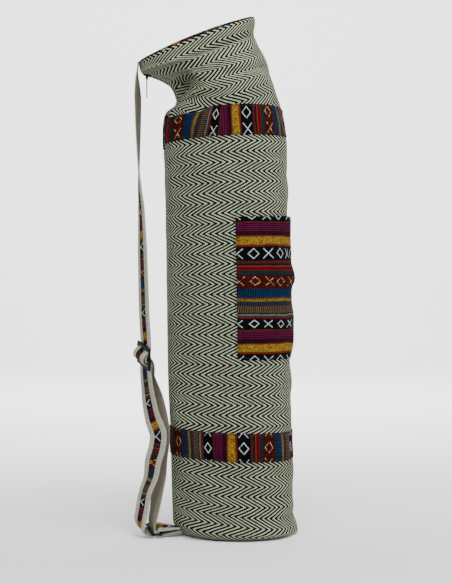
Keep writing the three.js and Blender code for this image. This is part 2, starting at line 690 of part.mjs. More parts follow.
// Places on the slide: down from its middle bar and out of its face, both in millimetres
function onSlide([down, out]) {
  return {
    at: slide_middle.clone().addScaledVector(slide_up, -down).addScaledVector(slide_out, out),
    across: slide_across,
  };
}
const layer = strap_thickness + seam_gap;
const face = slide_thickness / 2 + seam_gap + strap_thickness / 2;
const bar_half = slide_bar / 2;
const wrap = bar_half + seam_gap + strap_thickness / 2 + bend_room;
const corner_down = bar_half + 0.45 * strap_thickness + bend_room / 2;
const corner_out = slide_thickness / 2 + 0.45 * strap_thickness + bend_room / 2;
const through = bar_half + slide_slot - seam_gap - strap_thickness / 2 - 0.5;
const end_bar = bar_half + slide_slot + slide_bar;
const over_slide = [
  [-end_bar - 3, -face], [-end_bar + slide_bar / 2, -face - 0.2], [-through - 1.6, -face + 0.5],
  [-through, 0], [-through + 1.6, face], [-wrap, face + layer + 1.4], [0, face + layer + 2.6],
  [wrap, face + layer + 1.4], [through - 1.6, face], [through, 0], [through + 1.6, -face + 0.5],
  [end_bar - slide_bar / 2, -face - 0.2], [end_bar + 3, -face],
];
const loop_end = [
  [end_bar + 12, -face - 2 * layer - 1.5], [end_bar, -face - 2 * layer - 1.2],
  [wrap + 4.5, -face - 2 * layer], [wrap - 1, -face - layer - 0.6], [0, -face - 0.6],
  [-corner_down, -corner_out], [-wrap, 0], [-corner_down, corner_out], [0, face + 0.2],
  [corner_down, corner_out], [wrap, 0], [wrap + 1, -face - 0.6], [wrap + 5, -face - layer],
  [end_bar - 1, -face - layer - 0.3], [end_bar + 6, -face - layer - 0.6],
  [end_bar + 20, -face - layer - 1.2],
];

const strap_rows = [
  { at: strap_top, across: strap_sewn_across },
  { at: strap_tip, across: strap_sewn_across },
  ...run_to_slide.map(routed),
  ...over_slide.map(onSlide),
  ...run_to_ring.map(routed),
  ...[250, 285, 320, 355].map((angle) => aroundBar(strap_bar, angle)),
  ...run_from_ring.map(routed),
  ...loop_end.map(onSlide),
];
add('strap', ribbon(strap_rows, 2, strap_width, strap_thickness), canvas);

// The tab is a folded length of strap, sewn to the wall's corner and looped round the ring
function ringTab() {
  const spread = (strap_thickness + seam_gap) / 2;
  const turn = turnAt(tab_at, 0);
  const corner = corner_radius * (1 + corner_swing * Math.cos((tab_at - corner_roundest_at) * degree));
  const wallEnd = (middle) => {
    const highest = middle + strap_thickness / 2;
    const bend = Math.acos(1 - (highest - seam_gap) / corner) / (Math.PI / 2);
    const wall = bareSkin(turn, bend * corner_arc);
    return wall.at.addScaledVector(wall.outward, seam_gap + 0.2).setZ(middle);
  };
  const upper_end = wallEnd(tab_height + spread);
  const lower_end = wallEnd(tab_height - spread);
  const end_across = acrossAt(270 - tab_at, 0);
  const part_way = (end, angle, share) => ({
    at: end.clone().lerp(aroundBar(tab_bar, angle).at, share),
    across: end_across.clone().lerp(ring_across, share),
  });
  const rows = [
    part_way(upper_end, 90, 0), part_way(upper_end, 90, 0.5), part_way(upper_end, 70, 0.95),
    ...[90, 135, 180, 225, 270].map((angle) => aroundBar(tab_bar, angle)),
    part_way(lower_end, 290, 0.95), part_way(lower_end, 270, 0.5), part_way(lower_end, 270, 0),
  ];
  return ribbon(rows, 2, strap_width, strap_thickness);
}
add('ring_tab', ringTab(), canvas);

export default bag;
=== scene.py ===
# Yoga mat bag: cloth, strap, stitches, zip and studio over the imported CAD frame.
# Shapes are worked out in millimetres and degrees, and written to Blender in metres.
import math
from functools import partialmethod

import bmesh
import bpy
import numpy as np
from mathutils import Matrix, Vector


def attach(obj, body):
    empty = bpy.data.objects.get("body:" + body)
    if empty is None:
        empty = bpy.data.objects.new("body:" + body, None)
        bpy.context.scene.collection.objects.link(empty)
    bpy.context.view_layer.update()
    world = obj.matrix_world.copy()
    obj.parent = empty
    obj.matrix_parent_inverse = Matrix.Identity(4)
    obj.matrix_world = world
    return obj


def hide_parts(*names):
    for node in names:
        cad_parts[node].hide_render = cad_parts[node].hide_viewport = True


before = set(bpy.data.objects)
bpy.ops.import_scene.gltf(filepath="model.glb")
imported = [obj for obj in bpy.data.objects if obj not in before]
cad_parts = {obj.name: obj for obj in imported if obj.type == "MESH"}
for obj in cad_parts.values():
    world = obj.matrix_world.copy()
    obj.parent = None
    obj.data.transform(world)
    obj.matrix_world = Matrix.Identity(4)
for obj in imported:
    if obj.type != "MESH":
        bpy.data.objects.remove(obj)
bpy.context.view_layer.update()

MM = 0.001
turn_in_radians = 2 * math.pi

# Camera, from the photograph's 452 x 584 frame
focal_px = 1320.0
frame_height_px = 584.0
sensor_mm = 36.0
camera_place = (-10.3, -1808.0, 327.7)

# Bag, as in the part's source
bag_height = 702.0
bag_radius = 83.5
rim_tilt = 21.4
wall_thickness = 2.0
seam_gap = 0.3
cloth_per_rise = 1.042
corner_radius = 12.0
corner_swing = 0.6
corner_roundest_at = 178.0
corner_fade = 60.0
band_thickness = 1.2
lower_band_from = 112.0
lower_band_width = 37.5
upper_band_below_top = 163.0
upper_band_from = bag_height - upper_band_below_top
upper_band_width = 40.0
upper_band_drop = 6.0
band_drop_from = 0.86
pocket_from = 245.0
pocket_height = 187.0
pocket_width = 135.0
pocket_left_at = 277.5
pocket_thickness = 1.6
pocket_puff = 2.4
disc_thickness = 2.0
disc_bulge = 6.0
zip_tape_thickness = 0.8
zip_tape_gap = 0.9
zip_end_inset = 6.0
strap_width = 27.0
strap_thickness = 2.4
strap_sewn_from_rim = 5.0
strap_turn_at = 187.0
bend_room = 0.4
slide_bar = 5.0
slide_slot = 9.0
slide_thickness = 3.0
slide_down = 0.63
slide_right = 0.108
slide_near = 0.272
slide_turn = 55.3
slide_tilt = -21.3
slide_lean = -11.0
ring_wire = 3.0
ring_eye = 9.0
ring_height = 10.3
ring_left = 1.345
ring_near = 0.52
ring_turn = 70.3
ring_tilt = -17.2
tab_at = 202.0
tab_height = 9.6

corner_arc = corner_radius * math.pi / 2
rim_height = bag_height - bag_radius * math.sin(math.radians(rim_tilt))
wall_rise = rim_height - corner_radius - seam_gap
wall_length = wall_rise * cloth_per_rise
cloth_top = corner_arc + wall_length
round_length = 2 * math.pi * bag_radius

# Sections of the cloth tube. along is the share of the cloth's length and up the share of its rise.
# shift, half_width and half_depth are shares of bag_radius; tilt lowers the left end, nod the front.
sections = {
    "along": [0.000, 0.102, 0.184, 0.282, 0.466, 0.619, 0.742, 0.813, 0.853, 0.885, 0.926, 0.964, 1.000],
    "up": [0.000, 0.106, 0.192, 0.294, 0.485, 0.645, 0.773, 0.847, 0.882, 0.916, 0.946, 0.973, 1.000],
    "shift": [0.000, -0.023, -0.043, -0.066, -0.090, -0.113, -0.135, -0.172, -0.120, -0.220, -0.420,
              -0.580, -0.610],
    "half_width": [0.995, 0.998, 0.994, 1.006, 1.004, 1.000, 1.003, 0.953, 0.812, 0.826, 0.922, 0.978,
                   1.010],
    "half_depth": [1.000, 1.000, 0.998, 0.996, 0.998, 1.000, 1.000, 1.020, 1.050, 1.045, 1.020, 1.005,
                   0.995],
    "tilt": [0.0, -2.2, -2.4, -0.8, 0.5, 2.9, 3.4, 3.6, 7.7, 7.5, 11.2, 19.0, rim_tilt],
    "nod": [0, 0, 0, 0, 0, 0, 0, 0, 0, 2, 4, 6.5, 7.5],
}

# Folds: a ridge or a valley from one angle to another, and from one share of the cloth's length to
# another. out and spread are shares of bag_radius, ends is the angle in which the fold dies away.
fold_columns = ("from", "to", "low", "high", "out", "spread", "ends")
folds = {
    "notch": (208, 234, 0.878, 0.896, -0.190, 0.140, 12),
    "beak ridge": (212, 246, 0.961, 0.950, 0.065, 0.085, 22),
    "roll lip": (206, 248, 0.848, 0.858, 0.075, 0.048, 16),
    "band roll": (190, 248, 0.828, 0.834, 0.040, 0.090, 22),
    "hood crease": (272, 346, 0.949, 0.962, -0.052, 0.056, 24),
    "rim roll": (300, 400, 0.988, 0.988, 0.028, 0.120, 30),
    "side crease": (284, 336, 0.884, 0.896, -0.045, 0.062, 24),
    "back valley": (420, 492, 0.905, 0.880, -0.100, 0.140, 30),
    "foot bulge": (292, 400, -0.004, -0.004, 0.060, 0.130, 30),
    "foot crease": (335, 385, 0.030, 0.030, -0.036, 0.080, 20),
    "upper pinch": (192, 236, 0.108, 0.060, -0.020, 0.060, 12),
    "lower pinch": (198, 250, 0.066, 0.026, -0.018, 0.055, 12),
}

# Shallow waves of the cloth, which the solids leave out: height, length round the bag, length up the
# bag and start, in millimetres and turns. They die away at the zip, the base and the rim.
waves = {
    "long": (0.8, 97.0, 61.0, 0.16),
    "crossing": (0.6, 58.0, -88.0, 0.37),
    "short": (0.35, 34.0, 43.0, 0.11),
}
waves_from_zip = 16.0
waves_from_edge = 22.0

zip_line = {"along": [0.00, 0.33, 0.54, 0.74, 1.00], "angle": [182.0, 183.5, 188.0, 192.0, 192.0]}
zip_mean_angle = 190.0
zip_drift_reach = 0.2


# Shape of the cloth

def column_at(rows, key, along):
    """A smooth curve through one column of a table."""
    x = np.array(rows["along"], float)
    y = np.array(rows[key], float)
    before = np.r_[0, np.arange(len(x) - 1)]
    after = np.r_[np.arange(1, len(x)), len(x) - 1]
    slope = (y[after] - y[before]) / (x[after] - x[before])
    i = np.clip(np.searchsorted(x, along, side="left") - 1, 0, len(x) - 2)
    span = x[i + 1] - x[i]
    t = np.clip((along - x[i]) / span, 0, 1)
    rest = 1 - t
    return (y[i] * (1 + 2 * t) * rest * rest + slope[i] * span * t * rest * rest
            + y[i + 1] * t * t * (3 - 2 * t) - slope[i + 1] * span * t * t * rest)


def smoothstep(x, low, high):
    t = np.clip((x - low) / (high - low), 0, 1)
    return t * t * (3 - 2 * t)


def angle_at(turn, along):
    """Degrees round the bag at a share of the turn; turn 0 and 1 are the zip."""
    near_zip = 1 - smoothstep(np.minimum(turn, 1 - turn), 0, zip_drift_reach)
    drift = column_at(zip_line, "angle", along) - zip_mean_angle
    return zip_mean_angle + 360 * turn + drift * near_zip


def turn_at(angle, along):
    turn = np.asarray((angle - zip_mean_angle) / 360, float)
    for _ in range(4):
        turn = turn + (angle - angle_at(turn, along)) / 360
    return turn


def folds_at(angle, along):
    """How far the folds push the cloth out."""
    out = np.zeros_like(angle)
    for row in folds.values():
        fold = dict(zip(fold_columns, row))
        for a in (angle - 360, angle, angle + 360):
            inside = np.minimum(a - fold["from"], fold["to"] - a)
            share = np.clip((a - fold["from"]) / (fold["to"] - fold["from"]), 0, 1)
            middle = fold["low"] + (fold["high"] - fold["low"]) * share
            off = (along - middle) * wall_length / (fold["spread"] * bag_radius)
            out += fold["out"] * bag_radius * smoothstep(inside, -fold["ends"], 0) * np.exp(-off * off)
    return out


def waves_at(turn, height):
    """How far the shallow waves push the cloth out."""
    calm = smoothstep(np.minimum(turn, 1 - turn) * 360, 2, waves_from_zip)
    calm = calm * smoothstep(np.minimum(height, cloth_top - height), 2, waves_from_edge)
    out = np.zeros_like(height)
    for high, round_bag, up_bag, start in waves.values():
        out += high * np.sin(2 * math.pi * (turn * round_length / round_bag + height / up_bag + start))
    return out * calm


def unit(v):
    return v / np.linalg.norm(v, axis=-1, keepdims=True)


def stack(x, y, z):
    return np.stack(np.broadcast_arrays(x, y, z), axis=-1).astype(float)


def bare_skin(turn, height):
    """The cloth's outer face, and the way out of the tube in the plane of its section."""
    turn, height = np.broadcast_arrays(np.asarray(turn, float), np.asarray(height, float))
    along = (height - corner_arc) / wall_length
    degrees = angle_at(turn, along)
    angle = np.radians(degrees)
    flat = np.maximum(along, 0)
    size = {key: column_at(sections, key, flat) for key in sections if key != "along"}
    corner = corner_radius * (1 + corner_swing * np.cos(angle - math.radians(corner_roundest_at)))
    bend = np.clip(height / corner_arc, 0, 1) * math.pi / 2
    inset = corner * (1 - np.sin(bend))
    settle = 1 - smoothstep(height, corner_arc, corner_arc + corner_fade)
    lift = np.where(along < 0, corner * (1 - np.cos(bend)), corner_radius + (corner - corner_radius) * settle)
    half_width = size["half_width"] * bag_radius - inset
    half_depth = size["half_depth"] * bag_radius - inset
    tilt = np.radians(size["tilt"])
    nod = np.radians(size["nod"])
    right = stack(np.cos(tilt), 0, np.sin(tilt))
    back = stack(0, np.cos(nod), np.sin(nod))
    cos, sin = np.cos(angle)[..., None], np.sin(angle)[..., None]
    outward = unit(right * cos / half_width[..., None] + back * sin / half_depth[..., None])
    push = folds_at(degrees, along) * np.sin(bend) + waves_at(turn, height)
    middle = stack(size["shift"] * bag_radius, 0, seam_gap + lift + size["up"] * wall_rise)
    at = (middle + right * cos * half_width[..., None] + back * sin * half_depth[..., None]
          + outward * push[..., None])
    return at, outward


def skin_frame(turn, height):
    """The directions on the cloth: across the turn, up the cloth and out of it."""
    step = 0.5
    across = unit(bare_skin(turn + step / 360, height)[0] - bare_skin(turn - step / 360, height)[0])
    low = bare_skin(turn, np.maximum(height - step, 0))[0]
    high = bare_skin(turn, np.minimum(height + step, cloth_top))[0]
    out = unit(np.cross(across, unit(high - low)))
    return across, np.cross(out, across), out


def skin(turn, height, offset):
    """A point at a distance out of the cloth's face; at the rim it stays in the plane of the rim."""
    turn, height, offset = np.broadcast_arrays(*(np.asarray(x, float) for x in (turn, height, offset)))
    at, outward = bare_skin(turn, height)
    direction = np.where((height > cloth_top - 0.01)[..., None], outward, skin_frame(turn, height)[2])
    return at + direction * offset[..., None]


# Meshes

def finished(name, mesh, material, body="bag", replaces=()):
    """Makes the object, parents it to its body's empty and hides the CAD parts that it replaces."""
    piece = bpy.data.objects.new(name, mesh)
    bpy.context.scene.collection.objects.link(piece)
    mesh.materials.append(material)
    mesh.polygons.foreach_set("use_smooth", np.ones(len(mesh.polygons), bool))
    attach(piece, body)
    if replaces:
        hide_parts(*replaces)
    return piece


def grid(name, columns, rows, place, flat=None, weld=False, caps=False):
    """A mesh over a grid of columns and rows: place gives its points and flat the cloth's own plane."""
    bm = bmesh.new()
    bmesh.ops.create_grid(bm, x_segments=len(columns) - 1, y_segments=len(rows) - 1, size=1)
    bm.verts.ensure_lookup_table()
    plain = np.array([v.co for v in bm.verts])
    i = np.rint((plain[:, 0] + 1) / 2 * (len(columns) - 1)).astype(int)
    j = np.rint((plain[:, 1] + 1) / 2 * (len(rows) - 1)).astype(int)
    u, v = np.asarray(columns)[i], np.asarray(rows)[j]
    for vertex, point in zip(bm.verts, place(u, v) * MM):
        vertex.co = point
    if flat:
        cloth = flat(u, v) * MM
        cloth_map = bm.loops.layers.uv.new("cloth")
        for face in bm.faces:
            for loop in face.loops:
                loop[cloth_map].uv = cloth[loop.vert.index]
    if weld:
        bmesh.ops.remove_doubles(bm, verts=bm.verts, dist=1e-6)
    if caps:
        bmesh.ops.holes_fill(bm, edges=[e for e in bm.edges if e.is_boundary])
        bmesh.ops.recalc_face_normals(bm, faces=bm.faces)
    return mesh_of(name, bm)


def mesh_of(name, bm):
    mesh = bpy.data.meshes.new(name)
    bm.to_mesh(mesh)
    bm.free()
    return mesh


def thicken(piece, thickness):
    """Gives a sheet its thickness, inwards from the face that shows."""
    solid = piece.modifiers.new("thickness", "SOLIDIFY")
    solid.thickness = thickness * MM
    solid.offset = -1


def steps(low, high, size):
    return np.linspace(low, high, max(2, int(round((high - low) / size)) + 1))


def seam_line(start, end, count):
    """Points from one (turn, height) to another."""
    share = np.linspace(0, 1, count)
    return start[0] + (end[0] - start[0]) * share, start[1] + (end[1] - start[1]) * share


# A stitch is one short thread, full in its middle and thin at its two ends
thread_sides = 6
thread_end = 0.25
thread_shoulder = 0.22
stitch_length = 3.0
stitch_step = 4.2
stitch_radius = 0.32
stitch_from = 0.5


def thread_shape():
    """A stitch one unit long and one thick, lying along z."""
    bm = bmesh.new()
    bmesh.ops.create_cone(bm, cap_ends=True, segments=thread_sides, radius1=thread_end,
                          radius2=thread_end, depth=1, matrix=Matrix.Translation((0, 0, 0.5)))
    shoulders = []
    for height in (thread_shoulder, 1 - thread_shoulder):
        whole = bm.verts[:] + bm.edges[:] + bm.faces[:]
        cut = bmesh.ops.bisect_plane(bm, geom=whole, plane_co=(0, 0, height), plane_no=(0, 0, 1))
        shoulders += [v for v in cut["geom_cut"] if isinstance(v, bmesh.types.BMVert)]
    bmesh.ops.scale(bm, vec=(1 / thread_end, 1 / thread_end, 1), verts=shoulders)
    bmesh.ops.recalc_face_normals(bm, faces=bm.faces)
    return mesh_of("stitch", bm)


one_stitch = thread_shape()


def stitch_row(bm, points, outs):
    """Stitches along a row of points, laid on the face whose way out is given."""
    lengths = np.r_[0, np.cumsum(np.linalg.norm(np.diff(points, axis=0), axis=1))]
    count = max(1, int((lengths[-1] - stitch_length) / stitch_step))
    from_start = np.arange(count) * stitch_step + stitch_from
    pick = lambda array, at: np.stack([np.interp(at, lengths, array[:, k]) for k in range(3)], axis=1)
    starts, ends = pick(points, from_start), pick(points, from_start + stitch_length)
    ups = unit(pick(outs, from_start + stitch_length / 2))
    sides = np.cross(unit(ends - starts), ups)
    placed = np.zeros((count, 4, 4))
    placed[:, :3] = np.stack([ups * stitch_radius, sides * stitch_radius, ends - starts, starts], axis=2) * MM
    placed[:, 3, 3] = 1
    for rows in placed.tolist():
        stitch = one_stitch.copy()
        stitch.transform(Matrix(rows))
        lay_in(bm, stitch)


def lay_in(bm, mesh):
    """Adds a mesh to a piece that is being made, and drops it."""
    bm.from_mesh(mesh)
    bpy.data.meshes.remove(mesh)


# Shader nodes

def linear(red, green, blue):
    """A colour as it looks, 0 to 255, as Blender's linear values."""
    return tuple(((c / 255 + 0.055) / 1.055) ** 2.4 if c > 10 else c / 255 / 12.92
                 for c in (red, green, blue)) + (1.0,)


class Field:
    """A value in a node tree that formulas are written with."""

    def __init__(self, tree, socket):
        self.tree = tree
        self.socket = socket

    def math(self, operation, *others):
        node = self.tree.nodes.new("ShaderNodeMath")
        node.operation = operation
        for slot, value in zip(node.inputs, (self, *others)):
            link(self.tree, value, slot)
        return Field(self.tree, node.outputs[0])

    __add__ = __radd__ = partialmethod(math, "ADD")
    __sub__ = partialmethod(math, "SUBTRACT")
    __rsub__ = partialmethod(math, "MULTIPLY_ADD", -1.0)
    __mul__ = __rmul__ = partialmethod(math, "MULTIPLY")
    __truediv__ = partialmethod(math, "DIVIDE")
    fract = partialmethod(math, "FRACT")
    floor = partialmethod(math, "FLOOR")
    abs = partialmethod(math, "ABSOLUTE")
    sin = partialmethod(math, "SINE")
    less = partialmethod(math, "LESS_THAN")
    max = partialmethod(math, "MAXIMUM")

    def wave(self, pitch):
        """Up and down between 0 and 1 once in each pitch."""
        return (self / pitch * turn_in_radians).sin() * 0.5 + 0.5

    def fade(self, low, high):
        """0 below low, 1 above high; the other way round if low is the larger."""
        node = self.tree.nodes.new("ShaderNodeMapRange")
        node.interpolation_type = "SMOOTHSTEP"
        ends = sorted(((low, 0.0), (high, 1.0)))
        for slot, value in zip(node.inputs, (self, ends[0][0], ends[1][0], ends[0][1], ends[1][1])):
            link(self.tree, value, slot)
        return Field(self.tree, node.outputs[0])


def link(tree, value, slot):
    """Joins a value to a socket, or sets the socket where the value is a plain one."""
    if isinstance(value, Field):
        tree.links.new(value.socket, slot)
    else:
        slot.default_value = value


def blend(tree, share, first, second):
    node = tree.nodes.new("ShaderNodeMix")
    node.data_type = "RGBA"
    link(tree, share, node.inputs["Factor"])
    link(tree, first, node.inputs[6])
    link(tree, second, node.inputs[7])
    return Field(tree, node.outputs[2])


def ramp(tree, share, stops):
    """Flat bands of colour: stops are (place, colour) pairs."""
    node = tree.nodes.new("ShaderNodeValToRGB")
    node.color_ramp.interpolation = "CONSTANT"
    elements = node.color_ramp.elements
    elements[0].position, elements[0].color = stops[0]
    elements[1].position, elements[1].color = stops[1]
    for place, colour in stops[2:]:
        element = elements.new(place)
        element.color = colour
    link(tree, share, node.inputs[0])
    return Field(tree, node.outputs[0])


def parts_of(tree, colour):
    node = tree.nodes.new("ShaderNodeSeparateColor")
    link(tree, colour, node.inputs[0])
    return [Field(tree, node.outputs[k]) for k in range(3)]


def paired(tree, x, y):
    """Two values as one place."""
    node = tree.nodes.new("ShaderNodeCombineXYZ")
    link(tree, x, node.inputs[0])
    link(tree, y, node.inputs[1])
    return Field(tree, node.outputs[0])


def noise_at(tree, place, scale, detail):
    node = tree.nodes.new("ShaderNodeTexNoise")
    for label, value in (("Vector", place), ("Scale", scale), ("Detail", detail)):
        link(tree, value, node.inputs[label])
    return Field(tree, node.outputs["Fac"])


def noise(tree, x, y, scale, detail):
    """Noise over the cloth's own plane; x and y are in millimetres."""
    return noise_at(tree, paired(tree, x, y), scale, detail)


def speckle(tree, x, y):
    """A random value for each whole pair of numbers."""
    node = tree.nodes.new("ShaderNodeTexWhiteNoise")
    node.noise_dimensions = "2D"
    link(tree, paired(tree, x, y), node.inputs["Vector"])
    return Field(tree, node.outputs["Value"])


def group(name, inputs, outputs, build):
    """A node group with named sockets; build gets its inputs and returns its outputs."""
    tree = bpy.data.node_groups.new(name, "ShaderNodeTree")
    for side, sockets in (("INPUT", inputs), ("OUTPUT", outputs)):
        for label, kind in sockets.items():
            tree.interface.new_socket(name=label, in_out=side, socket_type=kind)
    enter = tree.nodes.new("NodeGroupInput")
    leave = tree.nodes.new("NodeGroupOutput")
    made = build(tree, *(Field(tree, enter.outputs[k]) for k in range(len(inputs))))
    for value, slot in zip(made, leave.inputs):
        link(tree, value, slot)
    return tree


def use(tree, grouped, *values):
    """Places a node group with these values and gives its outputs."""
    node = tree.nodes.new("ShaderNodeGroup")
    node.node_tree = grouped
    for value, slot in zip(values, node.inputs):
        link(tree, value, slot)
    return [Field(tree, output) for output in node.outputs]


def material(name, roughness, specular, metallic=0.0):
    made = bpy.data.materials.new(name)
    made.use_nodes = True
    shader = made.node_tree.nodes["Principled BSDF"]
    shader.inputs["Roughness"].default_value = roughness
    shader.inputs["Metallic"].default_value = metallic
    shader.inputs["Specular IOR Level"].default_value = specular
    return made, made.node_tree, shader


def cloth_plane(tree):
    """The cloth's own plane, in millimetres."""
    uv = tree.nodes.new("ShaderNodeUVMap")
    uv.uv_map = "cloth"
    apart = tree.nodes.new("ShaderNodeSeparateXYZ")
    tree.links.new(uv.outputs[0], apart.inputs[0])
    return [Field(tree, apart.outputs[k]) / MM for k in range(2)]


def bumped(tree, shader, height, distance):
    """Raises the surface by the height, whose 0 to 1 stands for a distance in millimetres."""
    node = tree.nodes.new("ShaderNodeBump")
    node.inputs["Strength"].default_value = 1.0
    node.inputs["Distance"].default_value = distance * MM
    link(tree, height, node.inputs["Height"])
    tree.links.new(node.outputs[0], shader.inputs["Normal"])


# Weaves

value_kind, colour_kind, place_kind = "NodeSocketFloat", "NodeSocketColor", "NodeSocketVector"


def build_yarns(tree, x, y, pitch_x, pitch_y):
    """Crossing yarns: a height from 0 to 1, and how light each yarn is."""
    column = (x / pitch_x).floor()
    row = (y / pitch_y).floor()
    checker = ((column + row) * 0.5).fract() * 2
    over = (x / pitch_x).fract() - 0.5
    along = (y / pitch_y).fract() - 0.5
    warp = 1 - over * over * 4
    weft = 1 - along * along * 4
    height = warp * checker + weft * (1 - checker)
    light = speckle(tree, column, 0.0) * 0.5 + speckle(tree, row, 7.0) * 0.5
    return height, light


yarns = group("crossing yarns", dict.fromkeys(("Across", "Along", "Across pitch", "Along pitch"), value_kind),
              {"Height": value_kind, "Light": value_kind}, build_yarns)


def build_grain(tree, place, scale, detail):
    return [noise_at(tree, place, scale, detail)]


fine_grain = group("fine grain", {"Place": place_kind, "Scale": value_kind, "Detail": value_kind},
                   {"Share": value_kind}, build_grain)

# Herringbone: rows of slanted stripes that turn back at each row
herringbone_row = 13.3
herringbone_pitch = 8.5
herringbone_slope = 2.0
herringbone_from = 0.9
herringbone_yarns = (1.06, 1.1)
pick_height = herringbone_row / 12
picked_share = 0.45
row_wobble = 3.0
stripe_wander = 1.3
dark_share = 0.6
dark_edge = 0.07


def build_herringbone(tree, x, y):
    wobble = noise(tree, x, y, 0.02, 3.0) - 0.5
    wander = noise(tree, x + 300, y, 0.09, 1.0) - 0.5
    up = (y + wobble * row_wobble + herringbone_from) / (2 * herringbone_row)
    zigzag = (up.fract() * 2 - 1).abs() * herringbone_row
    in_steps = (zigzag / pick_height).floor() * pick_height
    picked = in_steps * picked_share + zigzag * (1 - picked_share)
    slant = (x - picked * herringbone_slope + wander * stripe_wander) / herringbone_pitch
    stripe = (slant.fract() - 0.5).abs() * 2
    dark = stripe.fade(1 - dark_share - dark_edge, 1 - dark_share + dark_edge)
    height, light = use(tree, yarns, x, y, *herringbone_yarns)
    tint = noise(tree, x, y + 900, 0.35, 3.0)
    pale = blend(tree, light, linear(141, 147, 122), linear(184, 191, 166))
    pale = blend(tree, tint.fade(0.35, 0.75) * 0.35, pale, linear(142, 162, 138))
    ink = blend(tree, light.fade(0.5, 1.0) * 0.6, linear(5, 8, 5), linear(26, 31, 22))
    colour = blend(tree, dark, pale, ink)
    return colour, height * 0.7 + (1 - dark) * 0.5


weave_sides = {"Across": value_kind, "Along": value_kind}
weave_outputs = {"Colour": colour_kind, "Height": value_kind}
herringbone = group("herringbone weave", weave_sides, weave_outputs, build_herringbone)

# Striped cloth: its bands in order. A row has the band's width in millimetres, its two colours, and the
# strength of its lines, its ticks and its grain. The second colour is the one of the lines along a band,
# of the ticks across it and of its grain of single yarns.
stripes = {
    "black with motifs": (13.5, (6, 6, 8), (16, 17, 20), 0.0, 0.0, 0.35),
    "rose edge": (2.6, (87, 34, 31), (34, 12, 16), 0.0, 0.6, 0.3),
    "magenta": (10.4, (92, 14, 56), (22, 5, 17), 1.0, 0.0, 0.2),
    "maroon": (5.0, (30, 7, 17), (48, 14, 28), 0.3, 0.0, 0.3),
    "yellow edge": (1.6, (106, 47, 25), (47, 16, 15), 0.0, 0.6, 0.3),
    "yellow": (9.6, (146, 114, 34), (48, 38, 17), 0.0, 0.0, 0.8),
    "red orange": (2.7, (108, 36, 20), (55, 15, 13), 0.0, 0.6, 0.3),
    "wide black with motifs": (17.5, (6, 6, 8), (16, 17, 20), 0.0, 0.0, 0.35),
    "rose dots": (3.5, (84, 37, 34), (27, 9, 13), 0.0, 0.8, 0.3),
    "dark maroon": (3.0, (26, 8, 12), (48, 16, 19), 0.2, 0.3, 0.3),
    "orange line": (1.2, (117, 64, 41), (73, 30, 25), 0.0, 0.4, 0.3),
    "red": (5.2, (95, 12, 12), (50, 7, 11), 0.4, 0.0, 0.5),
    "teal": (4.2, (16, 45, 51), (7, 23, 30), 0.6, 0.0, 0.5),
    "red with flecks": (19.0, (62, 17, 13), (24, 8, 9), 0.0, 0.0, 0.9),
    "blue": (10.5, (14, 52, 86), (3, 9, 20), 0.0, 1.0, 0.4),
    "plum line": (1.3, (74, 34, 52), (26, 12, 22), 0.0, 0.6, 0.4),
    "gold": (4.2, (126, 99, 36), (44, 34, 17), 0.0, 0.3, 0.7),
    "grey blue": (5.6, (42, 56, 62), (9, 12, 17), 0.3, 0.9, 0.4),
    "rose line": (1.4, (104, 52, 50), (30, 14, 16), 0.0, 0.6, 0.4),
    "khaki": (7.3, (100, 84, 58), (18, 14, 15), 0.2, 1.0, 0.4),
    "teal line": (1.3, (10, 34, 42), (4, 12, 16), 0.0, 0.4, 0.4),
    "pale grey": (2.6, (94, 103, 92), (56, 64, 60), 0.3, 0.4, 0.4),
    "rose": (3.8, (89, 32, 30), (42, 13, 17), 0.0, 0.5, 0.4),
}


def stripe_edges():
    """Where each band starts and the middle of each, and the length of the whole repeat."""
    start = 0.0
    edges = {}
    for name, (width, *_) in stripes.items():
        edges[name] = (start, start + width / 2)
        start += width
    return edges, start


stripe_place, stripe_repeat = stripe_edges()
striped_yarns = (0.95, 0.8)
grain_cell = (0.95, 1.2)
line_pitch, line_from = 2.4, 0.4
tick_pitch, tick_row, tick_shift = 2.9, 3.0, 0.4
fleck_pitch, fleck_lean = 3.1, 0.4
band_wander = 1.4
motif_thread = 0.45
narrow_motif = {"step": 21.5, "from": 6.2, "half_height": 4.7, "half_length": 6.6}
wide_motif = {"step": 21.5, "from": 7.2, "half_height": 6.3, "half_length": 7.6}
fleck_motif = {"step": 21.5, "from": 9.0, "half_height": 5.6, "half_length": 7.2}


def motif(across, along, size):
    """A row of crosses and diamonds by turns."""
    step = size["step"]
    place = ((along - size["from"]) / (2 * step)).fract() * (2 * step)
    diamond_at = (place - step * 0.5).abs()
    cross_at = (place - step * 1.5).abs()
    slope = size["half_height"] / size["half_length"]
    thin = motif_thread * (1 + slope)
    diamond = (across.abs() + diamond_at * slope - size["half_height"]).abs().less(thin)
    cross = (across.abs() - cross_at * slope).abs().less(thin) * cross_at.less(size["half_length"])
    return diamond.max(cross) * across.abs().less(size["half_height"] + motif_thread)


def stripe_stops(pick):
    """Where each band starts, as a share of the repeat, and what pick takes from its row."""
    return [(stripe_place[name][0] / stripe_repeat, pick(*row)) for name, row in stripes.items()]


